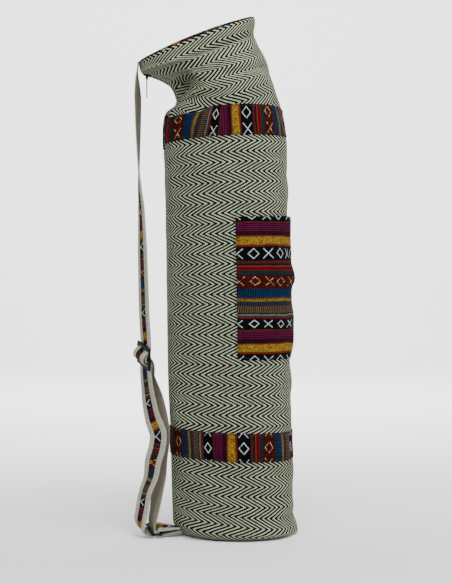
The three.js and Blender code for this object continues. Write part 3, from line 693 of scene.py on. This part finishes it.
def build_stripes(tree, across, along):
    wander = (noise(tree, across * 0.3, along, 0.06, 2.0) - 0.5) * band_wander
    share = ((across + wander) / stripe_repeat).fract()
    first = ramp(tree, share, stripe_stops(lambda width, one, other, *marks: linear(*one)))
    second = ramp(tree, share, stripe_stops(lambda width, one, other, *marks: linear(*other)))
    marks = ramp(tree, share, stripe_stops(lambda width, one, other, *marks: (*marks, 1.0)))
    lines, ticks, grain = parts_of(tree, marks)
    height, light = use(tree, yarns, across, along, *striped_yarns)
    cell = speckle(tree, (across / grain_cell[0]).floor(), (along / grain_cell[1]).floor())
    line_mask = (across + line_from).wave(line_pitch).fade(0.35, 0.65)
    tick_mask = (along + (across / tick_row).floor() * tick_shift).wave(tick_pitch).fade(0.35, 0.6)
    grain_mask = cell.fade(0.45, 0.75)
    spread = (lines * line_mask).max(ticks * tick_mask).max(grain * grain_mask)
    colour = blend(tree, spread, first, second)
    place = share * stripe_repeat
    flecks = motif(place - stripe_place["red with flecks"][1], along, fleck_motif)
    flecks = flecks * (along * fleck_lean + across).wave(fleck_pitch).fade(0.6, 0.4)
    fleck_colour = blend(tree, cell.fade(0.3, 0.7), linear(196, 116, 52), linear(206, 190, 140))
    colour = blend(tree, flecks * 0.85, colour, fleck_colour)
    colour = blend(tree, light.fade(0.5, 0.0) * 0.4, colour, linear(8, 7, 9))
    narrow = motif(place - stripe_place["black with motifs"][1], along, narrow_motif)
    wide = motif(place - stripe_place["wide black with motifs"][1], along, wide_motif)
    white = narrow.max(wide) * (0.6 + 0.35 * height) * cell.fade(0.05, 0.2)
    colour = blend(tree, white, colour, linear(190, 200, 204))
    return colour, height + white * 0.8


striped = group("striped weave", weave_sides, weave_outputs, build_stripes)


# Materials

def woven_cloth(name, weave, specular, depth):
    """Cloth whose weave gives both its colour and its height."""
    made, tree, shader = material(name, 0.95, specular)
    colour, height = use(tree, weave, *cloth_plane(tree))
    link(tree, colour, shader.inputs["Base Color"])
    bumped(tree, shader, height, depth)
    return made


strip_half = 5.2
canvas_yarns = (0.8, 0.7)
# The strap's back lies this far to the side of its face in the cloth's plane
hidden_side = 100.0


def strap_canvas():
    """Canvas with a woven strip down the middle of its face. x runs along the strap, y across it."""
    made, tree, shader = material("strap canvas", 0.92, 0.1)
    x, y = cloth_plane(tree)
    woven, woven_height = use(tree, striped, x, y)
    height, light = use(tree, yarns, x, y, *canvas_yarns)
    wear = noise(tree, x, y, 0.12, 4.0)
    canvas = blend(tree, light, linear(136, 135, 119), linear(182, 181, 165))
    canvas = blend(tree, wear.fade(0.5, 0.8) * 0.3, canvas, linear(122, 120, 103))
    # The strap's back side is darker: partly its own olive-brown colour, and partly painted shade, because
    # the back run hangs in shadow.
    back = 1 - y.abs().less(hidden_side / 2)
    canvas = blend(tree, back * 0.8, canvas, linear(122, 115, 100))
    strip = y.abs().less(strip_half)
    # Painted shade along the crease where each border is folded over the woven strip; the bump also presses
    # the crease in.
    fold = (y.abs() - strip_half - 0.3).abs().fade(0.5, 0.1)
    canvas = blend(tree, fold * 0.6, canvas, linear(70, 66, 54))
    link(tree, blend(tree, strip, canvas, woven), shader.inputs["Base Color"])
    bumped(tree, shader, height * (1 - strip) + woven_height * strip - fold * 1.5, 0.3)
    return made


def plain_cloth(name, dark, pale):
    made, tree, shader = material(name, 0.85, 0.15)
    height, light = use(tree, yarns, *cloth_plane(tree), 0.5, 0.5)
    link(tree, blend(tree, light, linear(*dark), linear(*pale)), shader.inputs["Base Color"])
    bumped(tree, shader, height, 0.15)
    return made


def object_place(tree):
    return Field(tree, tree.nodes.new("ShaderNodeTexCoord").outputs["Object"])


def thread(name, dark, pale):
    """Sewing thread with a fine twist."""
    made, tree, shader = material(name, 0.8, 0.15)
    twist, = use(tree, fine_grain, object_place(tree), 1600.0, 2.0)
    link(tree, blend(tree, twist.fade(0.35, 0.65), linear(*dark), linear(*pale)), shader.inputs["Base Color"])
    return made


def hard_surface(name, dark, pale, roughness, metallic, scale, depth):
    """Plastic or metal with fine scuffs."""
    made, tree, shader = material(name, roughness, 0.15, metallic)
    worn, = use(tree, fine_grain, object_place(tree), scale, 6.0)
    link(tree, blend(tree, worn.fade(0.45, 0.75), linear(*dark), linear(*pale)), shader.inputs["Base Color"])
    link(tree, worn * 0.25 + (roughness - 0.12), shader.inputs["Roughness"])
    bumped(tree, shader, worn, depth)
    return made


herringbone_look = woven_cloth("herringbone cloth", herringbone, 0.04, 0.35)
striped_look = woven_cloth("striped cloth", striped, 0.03, 0.3)
canvas_look = strap_canvas()
tape_look = plain_cloth("zip tape cloth", (14, 13, 11), (33, 31, 26))
coil_look = hard_surface("zip coil plastic", (16, 15, 13), (40, 38, 33), 0.5, 0.0, 900.0, 0.02)
metal_look = hard_surface("dark zip metal", (30, 31, 34), (62, 64, 68), 0.35, 1.0, 420.0, 0.02)
plastic_look = hard_surface("black plastic", (4, 5, 7), (13, 16, 20), 0.55, 0.0, 260.0, 0.03)
pale_thread = thread("pale thread", (150, 148, 132), (206, 203, 190))
dark_thread = thread("dark thread", (22, 22, 24), (58, 56, 56))


# Cloth pieces

# The slit is 2 mm wider than in the part's source, so that its dark line shows
zip_slit = 6.0
zip_edge = zip_slit / 2 / round_length
turns = np.linspace(zip_edge, 1 - zip_edge, 241)
hood_from = upper_band_from + upper_band_width


def wall_rows():
    """Heights up the cloth: close in the corner and the hood, wider between."""
    return np.unique(np.r_[steps(0, corner_arc, 2.2), steps(corner_arc, hood_from, 5.2),
                           steps(hood_from, cloth_top, 1.9)])


# In the hood the weave's rows are counted from the rim; they change over behind the upper band
rim_in_weave = 694.0
weave_smoothing = 8.0
weave_reach = 24
foot_packing = 7.0
foot_lean = 9.0


def weave_plane(rows):
    """The weave's coordinates over a grid of the wall's columns and rows."""
    u, v = np.meshgrid(turns, rows, indexing="ij")
    points = skin(u, v, 0)
    spans = np.linalg.norm(np.diff(points, axis=1), axis=2)
    from_rim = np.zeros_like(v)
    from_rim[:, :-1] = np.cumsum(spans[:, ::-1], axis=1)[:, ::-1]
    weight = np.exp(-(np.arange(-weave_reach, weave_reach + 1) / weave_smoothing) ** 2)
    padded = np.pad(from_rim, ((weave_reach, weave_reach), (0, 0)), mode="edge")
    from_rim = sum(w * padded[k:k + len(turns)] for k, w in enumerate(weight / weight.sum()))
    change = np.clip((v - upper_band_from) / (upper_band_width - upper_band_dip), 0, 1)
    at_foot = 1 - np.clip(v / lower_band_from, 0, 1)
    packed = at_foot * (foot_packing - foot_lean * np.sin(math.pi * u) ** 2)
    return (v - packed) * (1 - change) + (rim_in_weave - from_rim) * change


def wall():
    rows = wall_rows()
    plane = weave_plane(rows)

    def flat(u, v):
        column, row = np.searchsorted(turns, u - 1e-9), np.searchsorted(rows, v - 1e-9)
        return np.stack([u * round_length, plane[column, row]], axis=1)

    mesh = grid("wall", turns, rows, lambda u, v: skin(u, v, 0), flat)
    piece = finished("bag_wall", mesh, herringbone_look, replaces=["wall"])
    thicken(piece, wall_thickness)


# A sheet is drawn a little thinner than it is, so that its inner face keeps off the sheet behind it
drawn_share = {"band": 0.9, "pocket": 0.85, "top_disc": 0.9, "base_panel": 0.97}
base_panel_top = wall_thickness * 0.98


def folded(share, at_edge, power):
    """1 along the middle of a strip and at_edge at its two folded edges."""
    return at_edge + (1 - at_edge) * (1 - np.abs(2 * share - 1) ** power)


upper_band_dip = 7.0
dip_from, dip_to, dip_ends = 208.0, 246.0, 16.0


def level(turn, share):
    """The lower band hangs nowhere."""
    return 0 * turn


def upper_hang(turn, share):
    """How far the upper band hangs: its lower edge at its far end, its upper edge under the hood's tip."""
    angle = zip_mean_angle + 360 * turn
    rolled = smoothstep(np.minimum(angle - dip_from, dip_to - angle), -dip_ends, 0)
    return (upper_band_drop * smoothstep(turn, band_drop_from, 1) * (1 - share)
            + upper_band_dip * rolled * share ** 2)


def band(name, low, width, hang, pattern):
    """A band of striped cloth; pattern(u, v) says which places of the stripes lie there."""
    rows = steps(low, low + width, 2.5)

    def place(u, v):
        share = (v - low) / width
        return skin(u, v - hang(u, share), seam_gap + band_thickness * folded(share, 0.4, 8))

    mesh = grid(name, turns, rows, place, lambda u, v: np.stack(pattern(u, v), axis=1))
    piece = finished("bag_" + name, mesh, striped_look, replaces=[name])
    thicken(piece, band_thickness * drawn_share["band"])


# The stripes' places: where the middle of the wide black stripe lies, by angle
lower_black_at = 281.1
upper_black_at = 291.6
upper_lean = 14.0
upper_lean_at = 250.0
upper_lean_reach = 20.0
wide_black = stripe_place["wide black with motifs"][1]

# How far the stripes are pushed along the bands to the left and the right of it, and between which angles
lower_left_push, lower_left_ends = 10.4, (205, 262)
lower_right_push, lower_right_ends = 3.0, (285, 330)
upper_left_push, upper_left_ends = 10.0, (192, 232)
lower_band_along, upper_band_along = 0.15, 0.78
upper_motifs_up = 11.0


def lower_pattern(u, v):
    angle = zip_mean_angle + 360 * u
    packed = (lower_left_push * (1 - smoothstep(angle, *lower_left_ends))
              + lower_right_push * smoothstep(angle, *lower_right_ends))
    across = (u - turn_at(lower_black_at, lower_band_along)) * round_length + wide_black - packed
    return across, v - lower_band_from


def upper_pattern(u, v):
    share = (v - upper_band_from) / upper_band_width
    angle = zip_mean_angle + 360 * u
    lean = upper_lean * np.exp(-((angle - upper_lean_at) / upper_lean_reach) ** 2)
    spread = upper_left_push * (1 - smoothstep(angle, *upper_left_ends))
    middle = turn_at(upper_black_at, upper_band_along)
    across = (u - middle) * round_length + wide_black - lean * share + spread
    return across, v - upper_band_from - upper_motifs_up


# The pocket's free side is wavy. down is the share from its top, out is in millimetres.
pocket_waves = {
    "along": [0.00, 0.08, 0.17, 0.24, 0.33, 0.43, 0.49, 0.54, 0.67, 0.79, 0.91, 1.00],
    "out": [2.2, 1.0, -0.9, -0.9, 1.0, 3.6, 0.0, -0.6, 2.0, 0.7, 2.0, 0.6],
}
pocket_repeat = 140.0
pocket_top_in_repeat = 7.4
pocket_motif_shift = 4.7
wave_from, wave_to = 315.0, 350.0


def pocket_span():
    left = turn_at(pocket_left_at, 0.5)
    return left, left + pocket_width / round_length


def pocket_out(u, v):
    """How far the pocket's outer face stands off the wall."""
    left, right = pocket_span()
    middle, reach = (left + right) / 2, (right - left) / 2
    up = (v - pocket_from) / pocket_height
    side = 1 - np.clip(np.abs((u - middle) / reach), 0, 1) ** 4
    puff = pocket_puff * side * smoothstep(up, 0, 0.25)
    wave = column_at(pocket_waves, "out", 1 - up) * smoothstep(zip_mean_angle + 360 * u, wave_from, wave_to)
    edge = folded(up, 0.45, 24)
    return seam_gap + np.maximum(puff + wave * np.sqrt(np.clip(side, 0, 1)), 0) + pocket_thickness * edge


def pocket():
    left, right = pocket_span()
    columns = np.linspace(left, right, 73)
    rows = steps(pocket_from, pocket_from + pocket_height, 2.4)
    top = pocket_from + pocket_height
    scale = stripe_repeat / pocket_repeat

    def flat(u, v):
        across = (top - v) * scale + pocket_top_in_repeat
        return np.stack([across, (u - left) * round_length - pocket_motif_shift], axis=1)

    mesh = grid("pocket", columns, rows, lambda u, v: skin(u, v, pocket_out(u, v)), flat)
    piece = finished("bag_pocket", mesh, striped_look, replaces=["pocket"])
    thicken(piece, pocket_thickness * drawn_share["pocket"])


def disc_frame():
    """The rim's middle and the directions of its plane."""
    tilt, nod = math.radians(rim_tilt), math.radians(sections["nod"][-1])
    right = np.array([math.cos(tilt), 0, math.sin(tilt)])
    back = np.array([0, math.cos(nod), math.sin(nod)])
    ends = bare_skin(np.array([0.25, 0.75]), np.full(2, cloth_top))[0]
    return ends.mean(axis=0), right, back, unit(np.cross(right, back))


# The disc's stripes run from front to back. The yellow one lies this far left of its middle.
disc_yellow_left = 29.0
# Its rim is rolled down by this share of its thickness, from this share of the way out
disc_rolled, disc_roll_from = 0.5, 0.97


def top_disc():
    middle, right, back, up = disc_frame()
    shares = np.sqrt(np.linspace(0, 1, 31))

    def place(u, v):
        rim = bare_skin(u, np.full_like(u, cloth_top))[0]
        roll = 1 - smoothstep(v, disc_roll_from, 1) * disc_rolled
        lift = seam_gap + disc_bulge * (1 - v ** 2) + disc_thickness * roll
        return middle + (rim - middle) * v[:, None] + up * lift[:, None]

    def flat(u, v):
        off = place(u, v) - middle
        yellow = stripe_place["yellow"][1]
        return np.stack([yellow - disc_yellow_left - off @ right, off @ back], axis=1)

    mesh = grid("top_disc", np.linspace(0, 1, 145), shares, place, flat, weld=True)
    mesh.flip_normals()
    piece = finished("bag_top_disc", mesh, striped_look, replaces=["top_disc"])
    thicken(piece, disc_thickness * drawn_share["top_disc"])


def base_panel():
    def place(u, v):
        at, outward = bare_skin(u, np.zeros_like(u))
        rim = at - outward * seam_gap
        rim[:, 2] = 0
        return rim * v[:, None] + np.array([0, 0, base_panel_top])

    mesh = grid("base_panel", np.linspace(0, 1, 97), np.linspace(0, 1, 13), place,
                lambda u, v: place(u, v)[:, :2], weld=True)
    mesh.flip_normals()
    piece = finished("bag_base_panel", mesh, herringbone_look, replaces=["base_panel"])
    thicken(piece, wall_thickness * drawn_share["base_panel"])


# Zip

tape_half_angle = 7.5
coil_pitch = 2.2
coil_sides = 5
coil_turn_points = 7
coil_wire = 0.24
coil_half = 0.62
coil_rise = 0.5
coil_apart = 0.66
coil_out = -0.55


def zip_tape():
    half = tape_half_angle / 360
    columns = np.linspace(-half, half, 15)
    rows = steps(zip_end_inset, cloth_top - zip_end_inset, 3.0)
    mesh = grid("zip_tape", columns, rows, lambda u, v: skin(u, v, -wall_thickness - zip_tape_gap),
                lambda u, v: np.stack([u * round_length, v], axis=1))
    piece = finished("bag_zip_tape", mesh, tape_look, replaces=["zip_tape"])
    thicken(piece, zip_tape_thickness)


def wire(points, across, up):
    """A round wire through points, with rough directions across and up at each."""
    rows = np.arange(len(points))
    way = unit(points[np.minimum(rows + 1, len(points) - 1)] - points[np.maximum(rows - 1, 0)])
    side = unit(np.cross(way, up) + 1e-6 * across)
    top = np.cross(side, way)

    def place(u, v):
        row = v.astype(int)
        return points[row] + coil_wire * (side[row] * np.cos(u)[:, None] + top[row] * np.sin(u)[:, None])

    return grid("wire", np.linspace(0, turn_in_radians, coil_sides + 1), rows, place, weld=True, caps=True)


def zip_coil():
    """Two wound wires side by side in the slit, half a turn apart."""
    bm = bmesh.new()
    low, high = zip_end_inset, cloth_top - zip_end_inset
    count = int((high - low) / coil_pitch) * coil_turn_points
    heights = np.linspace(low, high, count)
    middle = skin(np.zeros(count), heights, coil_out)
    across, _, out = skin_frame(np.zeros(count), heights)
    for side, half_turn in ((-1, math.pi), (1, 0)):
        wind = turn_in_radians * np.arange(count) / coil_turn_points + half_turn
        shift = side * coil_apart + coil_half * np.cos(wind)
        points = middle + across * shift[:, None] + out * (coil_rise * np.sin(wind))[:, None]
        lay_in(bm, wire(points, across, out))
    finished("bag_zip_coil", mesh_of("zip_coil", bm), coil_look, replaces=["zip_coil"])


# Strap, as in the part's source

def across_at(turn, tilt):
    level = math.cos(math.radians(tilt))
    return np.array([level * math.cos(math.radians(turn)), -level * math.sin(math.radians(turn)),
                     math.sin(math.radians(tilt))])


straight_up = np.array([0.0, 0.0, 1.0])
ring_across = across_at(ring_turn, ring_tilt)
to_bag = unit(np.cross(straight_up, ring_across))
ring_up = np.cross(ring_across, to_bag)
strap_bar = np.array([-ring_left * bag_radius, -ring_near * bag_radius, ring_height])
tab_bar = strap_bar + to_bag * (ring_eye + ring_wire)
off_ring_bar = ring_wire / 2 + seam_gap + strap_thickness / 2 + bend_room

# The strap's route: down, side, near, turn and tilt
run_to_slide = [
    (0.014, -0.010, 0.00, 86, 0), (0.035, -0.010, 0.02, 96, 0), (0.070, -0.002, 0.04, 105, 0),
    (0.135, 0.004, 0.07, 100, 0), (0.212, 0.014, 0.10, 90, 0), (0.266, 0.033, 0.13, 79, 0),
    (0.312, 0.060, 0.16, 70, 0), (0.396, 0.083, 0.22, 61, 0), (0.478, 0.102, 0.27, 58, -2),
    (0.545, 0.122, 0.33, 57, -8),
]
run_to_ring = [
    (0.695, 0.155, 0.19, 52, -8), (0.727, 0.190, 0.23, 44, -3), (0.765, 0.255, 0.29, 36, 0),
    (0.798, 0.345, 0.38, 30, 0), (0.826, 0.327, 0.42, 29, 0), (0.853, 0.270, 0.43, 31, 0),
    (0.887, 0.232, 0.44, 42, 0), (0.920, 0.142, 0.45, 50, 0), (0.955, 0.094, 0.455, 48, -2),
    (0.982, 0.062, 0.470, 54, -10), (0.998, 0.080, 0.44, 66, -16),
]
run_from_ring = [
    (0.985, 0.250, 0.41, 69, -16), (0.956, 0.292, 0.37, 63, -9), (0.921, 0.326, 0.30, 52, -2),
    (0.888, 0.360, 0.26, 46, 0), (0.853, 0.375, 0.24, 44, 0), (0.798, 0.415, 0.22, 44, 0),
    (0.741, 0.345, 0.12, 48, -4), (0.704, 0.270, 0.06, 52, -10),
]

strap_tip_turn = turn_at(strap_turn_at, 1.0)
sewn_room = 0.2
off_wall = seam_gap + strap_thickness / 2 + sewn_room
strap_top = skin(strap_tip_turn, cloth_top - 1, off_wall)
strap_tip = skin(strap_tip_turn, cloth_top - strap_sewn_from_rim, off_wall)
strap_sewn_across = skin_frame(strap_tip_turn, cloth_top - strap_sewn_from_rim)[0]


def routed(row):
    down, side, near, turn, tilt = row
    at = np.array([strap_tip[0] + side * bag_radius, strap_tip[1] - near * bag_radius,
                   strap_tip[2] + (ring_height - strap_tip[2]) * down])
    return at, across_at(turn, tilt)


def around_bar(bar, degrees):
    angle = math.radians(degrees)
    return bar + off_ring_bar * (to_bag * math.cos(angle) + ring_up * math.sin(angle)), ring_across


slide_across = across_at(slide_turn, slide_tilt)
slide_level = -unit(np.cross(straight_up, slide_across))
slide_out = np.array(Matrix.Rotation(math.radians(-slide_lean), 3, Vector(slide_across))
                     @ Vector(slide_level))
slide_up = unit(np.cross(slide_out, slide_across))
slide_middle = routed((slide_down, slide_right, slide_near, 0, 0))[0]


def on_slide(place):
    down, out = place
    return slide_middle - slide_up * down + slide_out * out, slide_across


layer = strap_thickness + seam_gap
face = slide_thickness / 2 + seam_gap + strap_thickness / 2
bar_half = slide_bar / 2
wrap = bar_half + seam_gap + strap_thickness / 2 + bend_room
corner_down = bar_half + 0.45 * strap_thickness + bend_room / 2
corner_out = slide_thickness / 2 + 0.45 * strap_thickness + bend_room / 2
through = bar_half + slide_slot - seam_gap - strap_thickness / 2 - 0.5
end_bar = bar_half + slide_slot + slide_bar
over_slide = [
    (-end_bar - 3, -face), (-end_bar + slide_bar / 2, -face - 0.2), (-through - 1.6, -face + 0.5),
    (-through, 0), (-through + 1.6, face), (-wrap, face + layer + 1.4), (0, face + layer + 2.6),
    (wrap, face + layer + 1.4), (through - 1.6, face), (through, 0), (through + 1.6, -face + 0.5),
    (end_bar - slide_bar / 2, -face - 0.2), (end_bar + 3, -face),
]
loop_end = [
    (end_bar + 12, -face - 2 * layer - 1.5), (end_bar, -face - 2 * layer - 1.2),
    (wrap + 4.5, -face - 2 * layer), (wrap - 1, -face - layer - 0.6), (0, -face - 0.6),
    (-corner_down, -corner_out), (-wrap, 0), (-corner_down, corner_out), (0, face + 0.2),
    (corner_down, corner_out), (wrap, 0), (wrap + 1, -face - 0.6), (wrap + 5, -face - layer),
    (end_bar - 1, -face - layer - 0.3), (end_bar + 6, -face - layer - 0.6),
    (end_bar + 20, -face - layer - 1.2),
]


class Route:
    """A centripetal curve through rows of (point, direction across)."""

    def __init__(self, rows, steps_a_span):
        points = np.array([row[0] for row in rows])
        sides = np.array([row[1] for row in rows])
        spans = len(rows) - 1
        padded = np.vstack([2 * points[0] - points[1], points, 2 * points[-1] - points[-2]])
        count = spans * steps_a_span
        place = np.arange(count + 1) / steps_a_span
        span = np.minimum(place.astype(int), spans - 1)
        t = (place - span)[:, None]
        p0, p1, p2, p3 = (padded[span + k] for k in range(4))
        d0, d1, d2 = (np.sqrt(np.linalg.norm(b - a, axis=1))[:, None]
                      for a, b in ((p0, p1), (p1, p2), (p2, p3)))
        m1 = ((p1 - p0) / d0 - (p2 - p0) / (d0 + d1) + (p2 - p1) / d1) * d1
        m2 = ((p2 - p1) / d1 - (p3 - p1) / (d1 + d2) + (p3 - p2) / d2) * d1
        self.at = (p1 + m1 * t + (3 * (p2 - p1) - 2 * m1 - m2) * t ** 2
                   + (2 * (p1 - p2) + m1 + m2) * t ** 3)
        way = m1 + 2 * (3 * (p2 - p1) - 2 * m1 - m2) * t + 3 * (2 * (p1 - p2) + m1 + m2) * t ** 2
        way = unit(way)
        across = sides[span] * (1 - t) + sides[span + 1] * t
        self.out = unit(np.cross(across, way))
        self.across = np.cross(way, self.out)
        self.length = np.r_[0, np.cumsum(np.linalg.norm(np.diff(self.at, axis=0), axis=1))]

    def point(self, row, across, out):
        return self.at[row] + self.across[row] * across[:, None] + self.out[row] * out[:, None]


# The strap's section: across as a share of half its width, out as a share of half its thickness.
# Its face lies on the low side, where the borders are folded over the woven strip.
strap_section = [
    (-1.00, 0.00), (-0.97, -0.62), (-0.90, -0.96), (-0.70, -1.00), (-0.44, -1.00), (-0.39, -0.92),
    (-0.36, -0.55), (-0.20, -0.50), (0.00, -0.48), (0.20, -0.50), (0.36, -0.55), (0.39, -0.92),
    (0.44, -1.00), (0.70, -1.00), (0.90, -0.96), (0.97, -0.62), (1.00, 0.00), (0.97, 0.62),
    (0.90, 0.92), (0.60, 0.86), (0.20, 0.80), (-0.20, 0.80), (-0.60, 0.86), (-0.90, 0.92),
    (-0.97, 0.62), (-1.00, 0.00),
]
strap_back_from = 17
strap_pattern_from = 77.2
strap_slimmed = 0.98
curl = 0.16
ripple_share, ripple_length = 0.12, 9.0


def strap_mesh(name, route, pattern_from, pattern_way=1):
    section = np.array(strap_section)

    def place(u, v):
        k, row = u.astype(int), v.astype(int)
        aside, thick = section[k].T
        ripple = ripple_share * np.sin(route.length[row] / ripple_length) * np.abs(aside)
        curled = curl * (0.5 - aside ** 2 + ripple)
        return route.point(row, aside * strap_width / 2, thick * strap_thickness / 2 * strap_slimmed + curled)

    def flat(u, v):
        k, row = u.astype(int), v.astype(int)
        across = section[k, 0] * strap_width / 2
        back = (k >= strap_back_from) & (k < len(section) - 1)
        along = route.length[row] * pattern_way + pattern_from
        return np.stack([along, across + np.where(back, hidden_side, 0)], axis=1)

    return grid(name, np.arange(len(section)), np.arange(len(route.at)), place, flat, weld=True, caps=True)


strap_rows = [
    (strap_top, strap_sewn_across), (strap_tip, strap_sewn_across),
    *map(routed, run_to_slide), *map(on_slide, over_slide), *map(routed, run_to_ring),
    *(around_bar(strap_bar, a) for a in (250, 285, 320, 355)),
    *map(routed, run_from_ring), *map(on_slide, loop_end),
]
strap_route = Route(strap_rows, 9)


def strap():
    mesh = strap_mesh("strap", strap_route, strap_pattern_from)
    finished("bag_strap", mesh, canvas_look, replaces=["strap"])


def tab_rows():
    spread = (strap_thickness + seam_gap) / 2
    turn = turn_at(tab_at, 0.0)
    corner = corner_radius * (1 + corner_swing * math.cos(math.radians(tab_at - corner_roundest_at)))

    def wall_end(middle):
        highest = middle + strap_thickness / 2
        bend = math.acos(1 - (highest - seam_gap) / corner) / (math.pi / 2)
        at, outward = bare_skin(turn, bend * corner_arc)
        end = at + outward * (seam_gap + sewn_room)
        end[2] = middle
        return end

    upper, lower = wall_end(tab_height + spread), wall_end(tab_height - spread)
    end_across = across_at(270 - tab_at, 0)

    def part_way(end, degrees, share):
        bar = around_bar(tab_bar, degrees)[0]
        return end + (bar - end) * share, end_across + (ring_across - end_across) * share

    return [part_way(upper, 90, 0), part_way(upper, 90, 0.5), part_way(upper, 70, 0.95),
            *(around_bar(tab_bar, a) for a in (90, 135, 180, 225, 270)),
            part_way(lower, 290, 0.95), part_way(lower, 270, 0.5), part_way(lower, 270, 0)]


tab_pattern_from = 64.0


def ring_tab():
    route = Route(tab_rows(), 8)
    mesh = strap_mesh("ring_tab", route, tab_pattern_from, -1)
    finished("bag_ring_tab", mesh, canvas_look, replaces=["ring_tab"])


# Stitches

thread_lift = 0.1
band_stitch_inset = 2.2
pocket_stitch_inset = 3.0
pocket_stitch_below_top = 1.5
zip_stitch_beside = 6.0
zip_thread_lift = 0.15
strap_stitch_at = 0.47
strap_thread_lift = 0.05
strap_end_points = 6


def cloth_stitches(name, rows, look):
    """Stitches on the bag's cloth: rows of (turns, heights, how far out)."""
    bm = bmesh.new()
    for turn, height, out in rows:
        stitch_row(bm, skin(turn, height, out), skin_frame(turn, height)[2])
    finished(name, mesh_of(name, bm), look)


def band_stitches():
    rows = []
    for low, width, hang in ((lower_band_from, lower_band_width, level),
                             (upper_band_from, upper_band_width, upper_hang)):
        for share, height in ((0, low + band_stitch_inset), (1, low + width - band_stitch_inset)):
            turn, heights = seam_line((zip_edge * 2, height), (1 - zip_edge * 2, height), 500)
            rows.append((turn, heights - hang(turn, share), seam_gap + band_thickness + thread_lift))
    cloth_stitches("bag_band_stitches", rows, dark_thread)


def pocket_stitches():
    left, right = pocket_span()
    left, right = left + pocket_stitch_inset / round_length, right - pocket_stitch_inset / round_length
    low = pocket_from + pocket_stitch_inset
    high = pocket_from + pocket_height - pocket_stitch_below_top
    seams = (((left, low), (left, high)), ((right, low), (right, high)), ((left, low), (right, low)))
    rows = []
    for start, end in seams:
        turn, height = seam_line(start, end, 120)
        rows.append((turn, height, pocket_out(turn, height) + thread_lift))
    cloth_stitches("bag_pocket_stitches", rows, dark_thread)


def zip_stitches():
    """Two rows beside the slit, which stop at each band."""
    beside = zip_stitch_beside / round_length
    rows = []
    for side in (beside, 1 - beside):
        for low, high in ((zip_end_inset, lower_band_from - 2),
                          (lower_band_from + lower_band_width + 2, upper_band_from - 8),
                          (hood_from + 2, cloth_top - zip_end_inset)):
            turn, height = seam_line((side, low), (side, high), 200)
            rows.append((turn, height, zip_thread_lift))
    cloth_stitches("bag_zip_stitches", rows, pale_thread)


def strap_stitches():
    """Two rows on the strap's face, beside the woven strip."""
    bm = bmesh.new()
    keep = np.arange(strap_end_points, len(strap_route.at) - strap_end_points)
    out = np.full(len(keep), -strap_thickness / 2 - strap_thread_lift)
    for side in (-1, 1):
        across = np.full(len(keep), side * strap_width / 2 * strap_stitch_at)
        stitch_row(bm, strap_route.point(keep, across, out), -strap_route.out[keep])
    finished("bag_strap_stitches", mesh_of("strap_stitches", bm), pale_thread)


wall()
band("lower_band", lower_band_from, lower_band_width, level, lower_pattern)
band("upper_band", upper_band_from, upper_band_width, upper_hang, upper_pattern)
pocket()
top_disc()
base_panel()
zip_tape()
zip_coil()
strap()
ring_tab()
band_stitches()
pocket_stitches()
zip_stitches()
strap_stitches()


# Hard pieces keep their CAD shape

for node, look in (("zip_slider", metal_look), ("zip_pull", metal_look),
                   ("strap_slide", plastic_look), ("strap_ring", plastic_look)):
    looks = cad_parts[node].data.materials
    looks.clear()
    looks.append(look)


# Studio

def floor():
    """A round pale floor that sweeps up into a backdrop on every side."""
    flat_radius, sweep, height = 4.0, 1.5, 3.4
    arc = np.linspace(0, math.pi / 2, 13)
    radii = np.r_[np.linspace(0, flat_radius, 9), flat_radius + sweep * np.sin(arc[1:]), flat_radius + sweep]
    rises = np.r_[np.zeros(9), sweep * (1 - np.cos(arc[1:])), height]

    def place(u, v):
        ring = v.astype(int)
        return np.stack([radii[ring] * np.cos(u), radii[ring] * np.sin(u), rises[ring]], axis=1) / MM

    mesh = grid("floor", np.linspace(0, turn_in_radians, 97), np.arange(len(radii)), place, weld=True)
    made, _, shader = material("pale floor", 0.9, 0.1)
    shader.inputs["Base Color"].default_value = (0.9, 0.9, 0.9, 1)
    piece = bpy.data.objects.new("floor", mesh)
    mesh.materials.append(made)
    mesh.polygons.foreach_set("use_smooth", np.ones(len(mesh.polygons), bool))
    bpy.context.scene.collection.objects.link(piece)


# Lights: place, what they are aimed at, size and power
lights = {
    "overhead": ((0.2, -0.6, 1.7), (0, 0, 0.3), 0.7, 26),
    "key": ((-0.7, -1.6, 1.5), (0, 0, 0.5), 0.8, 16),
    "side": ((1.7, -0.5, 0.9), (0, 0, 0.4), 0.7, 14),
    "backdrop": ((0, 1.6, 2.9), (0, 5.0, 0.8), 2.5, 420),
}


def area_light(name, place, aim, size, power):
    data = bpy.data.lights.new(name, "AREA")
    data.shape = "DISK"
    data.size = size
    data.energy = power
    lamp = bpy.data.objects.new(name, data)
    lamp.location = place
    lamp.rotation_euler = (Vector(aim) - Vector(place)).to_track_quat("-Z", "Y").to_euler()
    bpy.context.scene.collection.objects.link(lamp)


def studio():
    floor()
    for name, row in lights.items():
        area_light(name, *row)
    world = bpy.data.worlds.new("studio")
    bpy.context.scene.world = world
    world.use_nodes = True
    sky = world.node_tree.nodes["Background"]
    sky.inputs["Color"].default_value = (1, 1, 1, 1)
    sky.inputs["Strength"].default_value = 0.4


def camera():
    data = bpy.data.cameras.new("camera")
    data.sensor_width = sensor_mm
    data.lens = sensor_mm * focal_px / frame_height_px
    data.clip_start, data.clip_end = 0.05, 50
    eye = bpy.data.objects.new("camera", data)
    eye.location = [c * MM for c in camera_place]
    eye.rotation_euler = (math.radians(90), 0, 0)
    bpy.context.scene.collection.objects.link(eye)
    bpy.context.scene.camera = eye


studio()
camera()
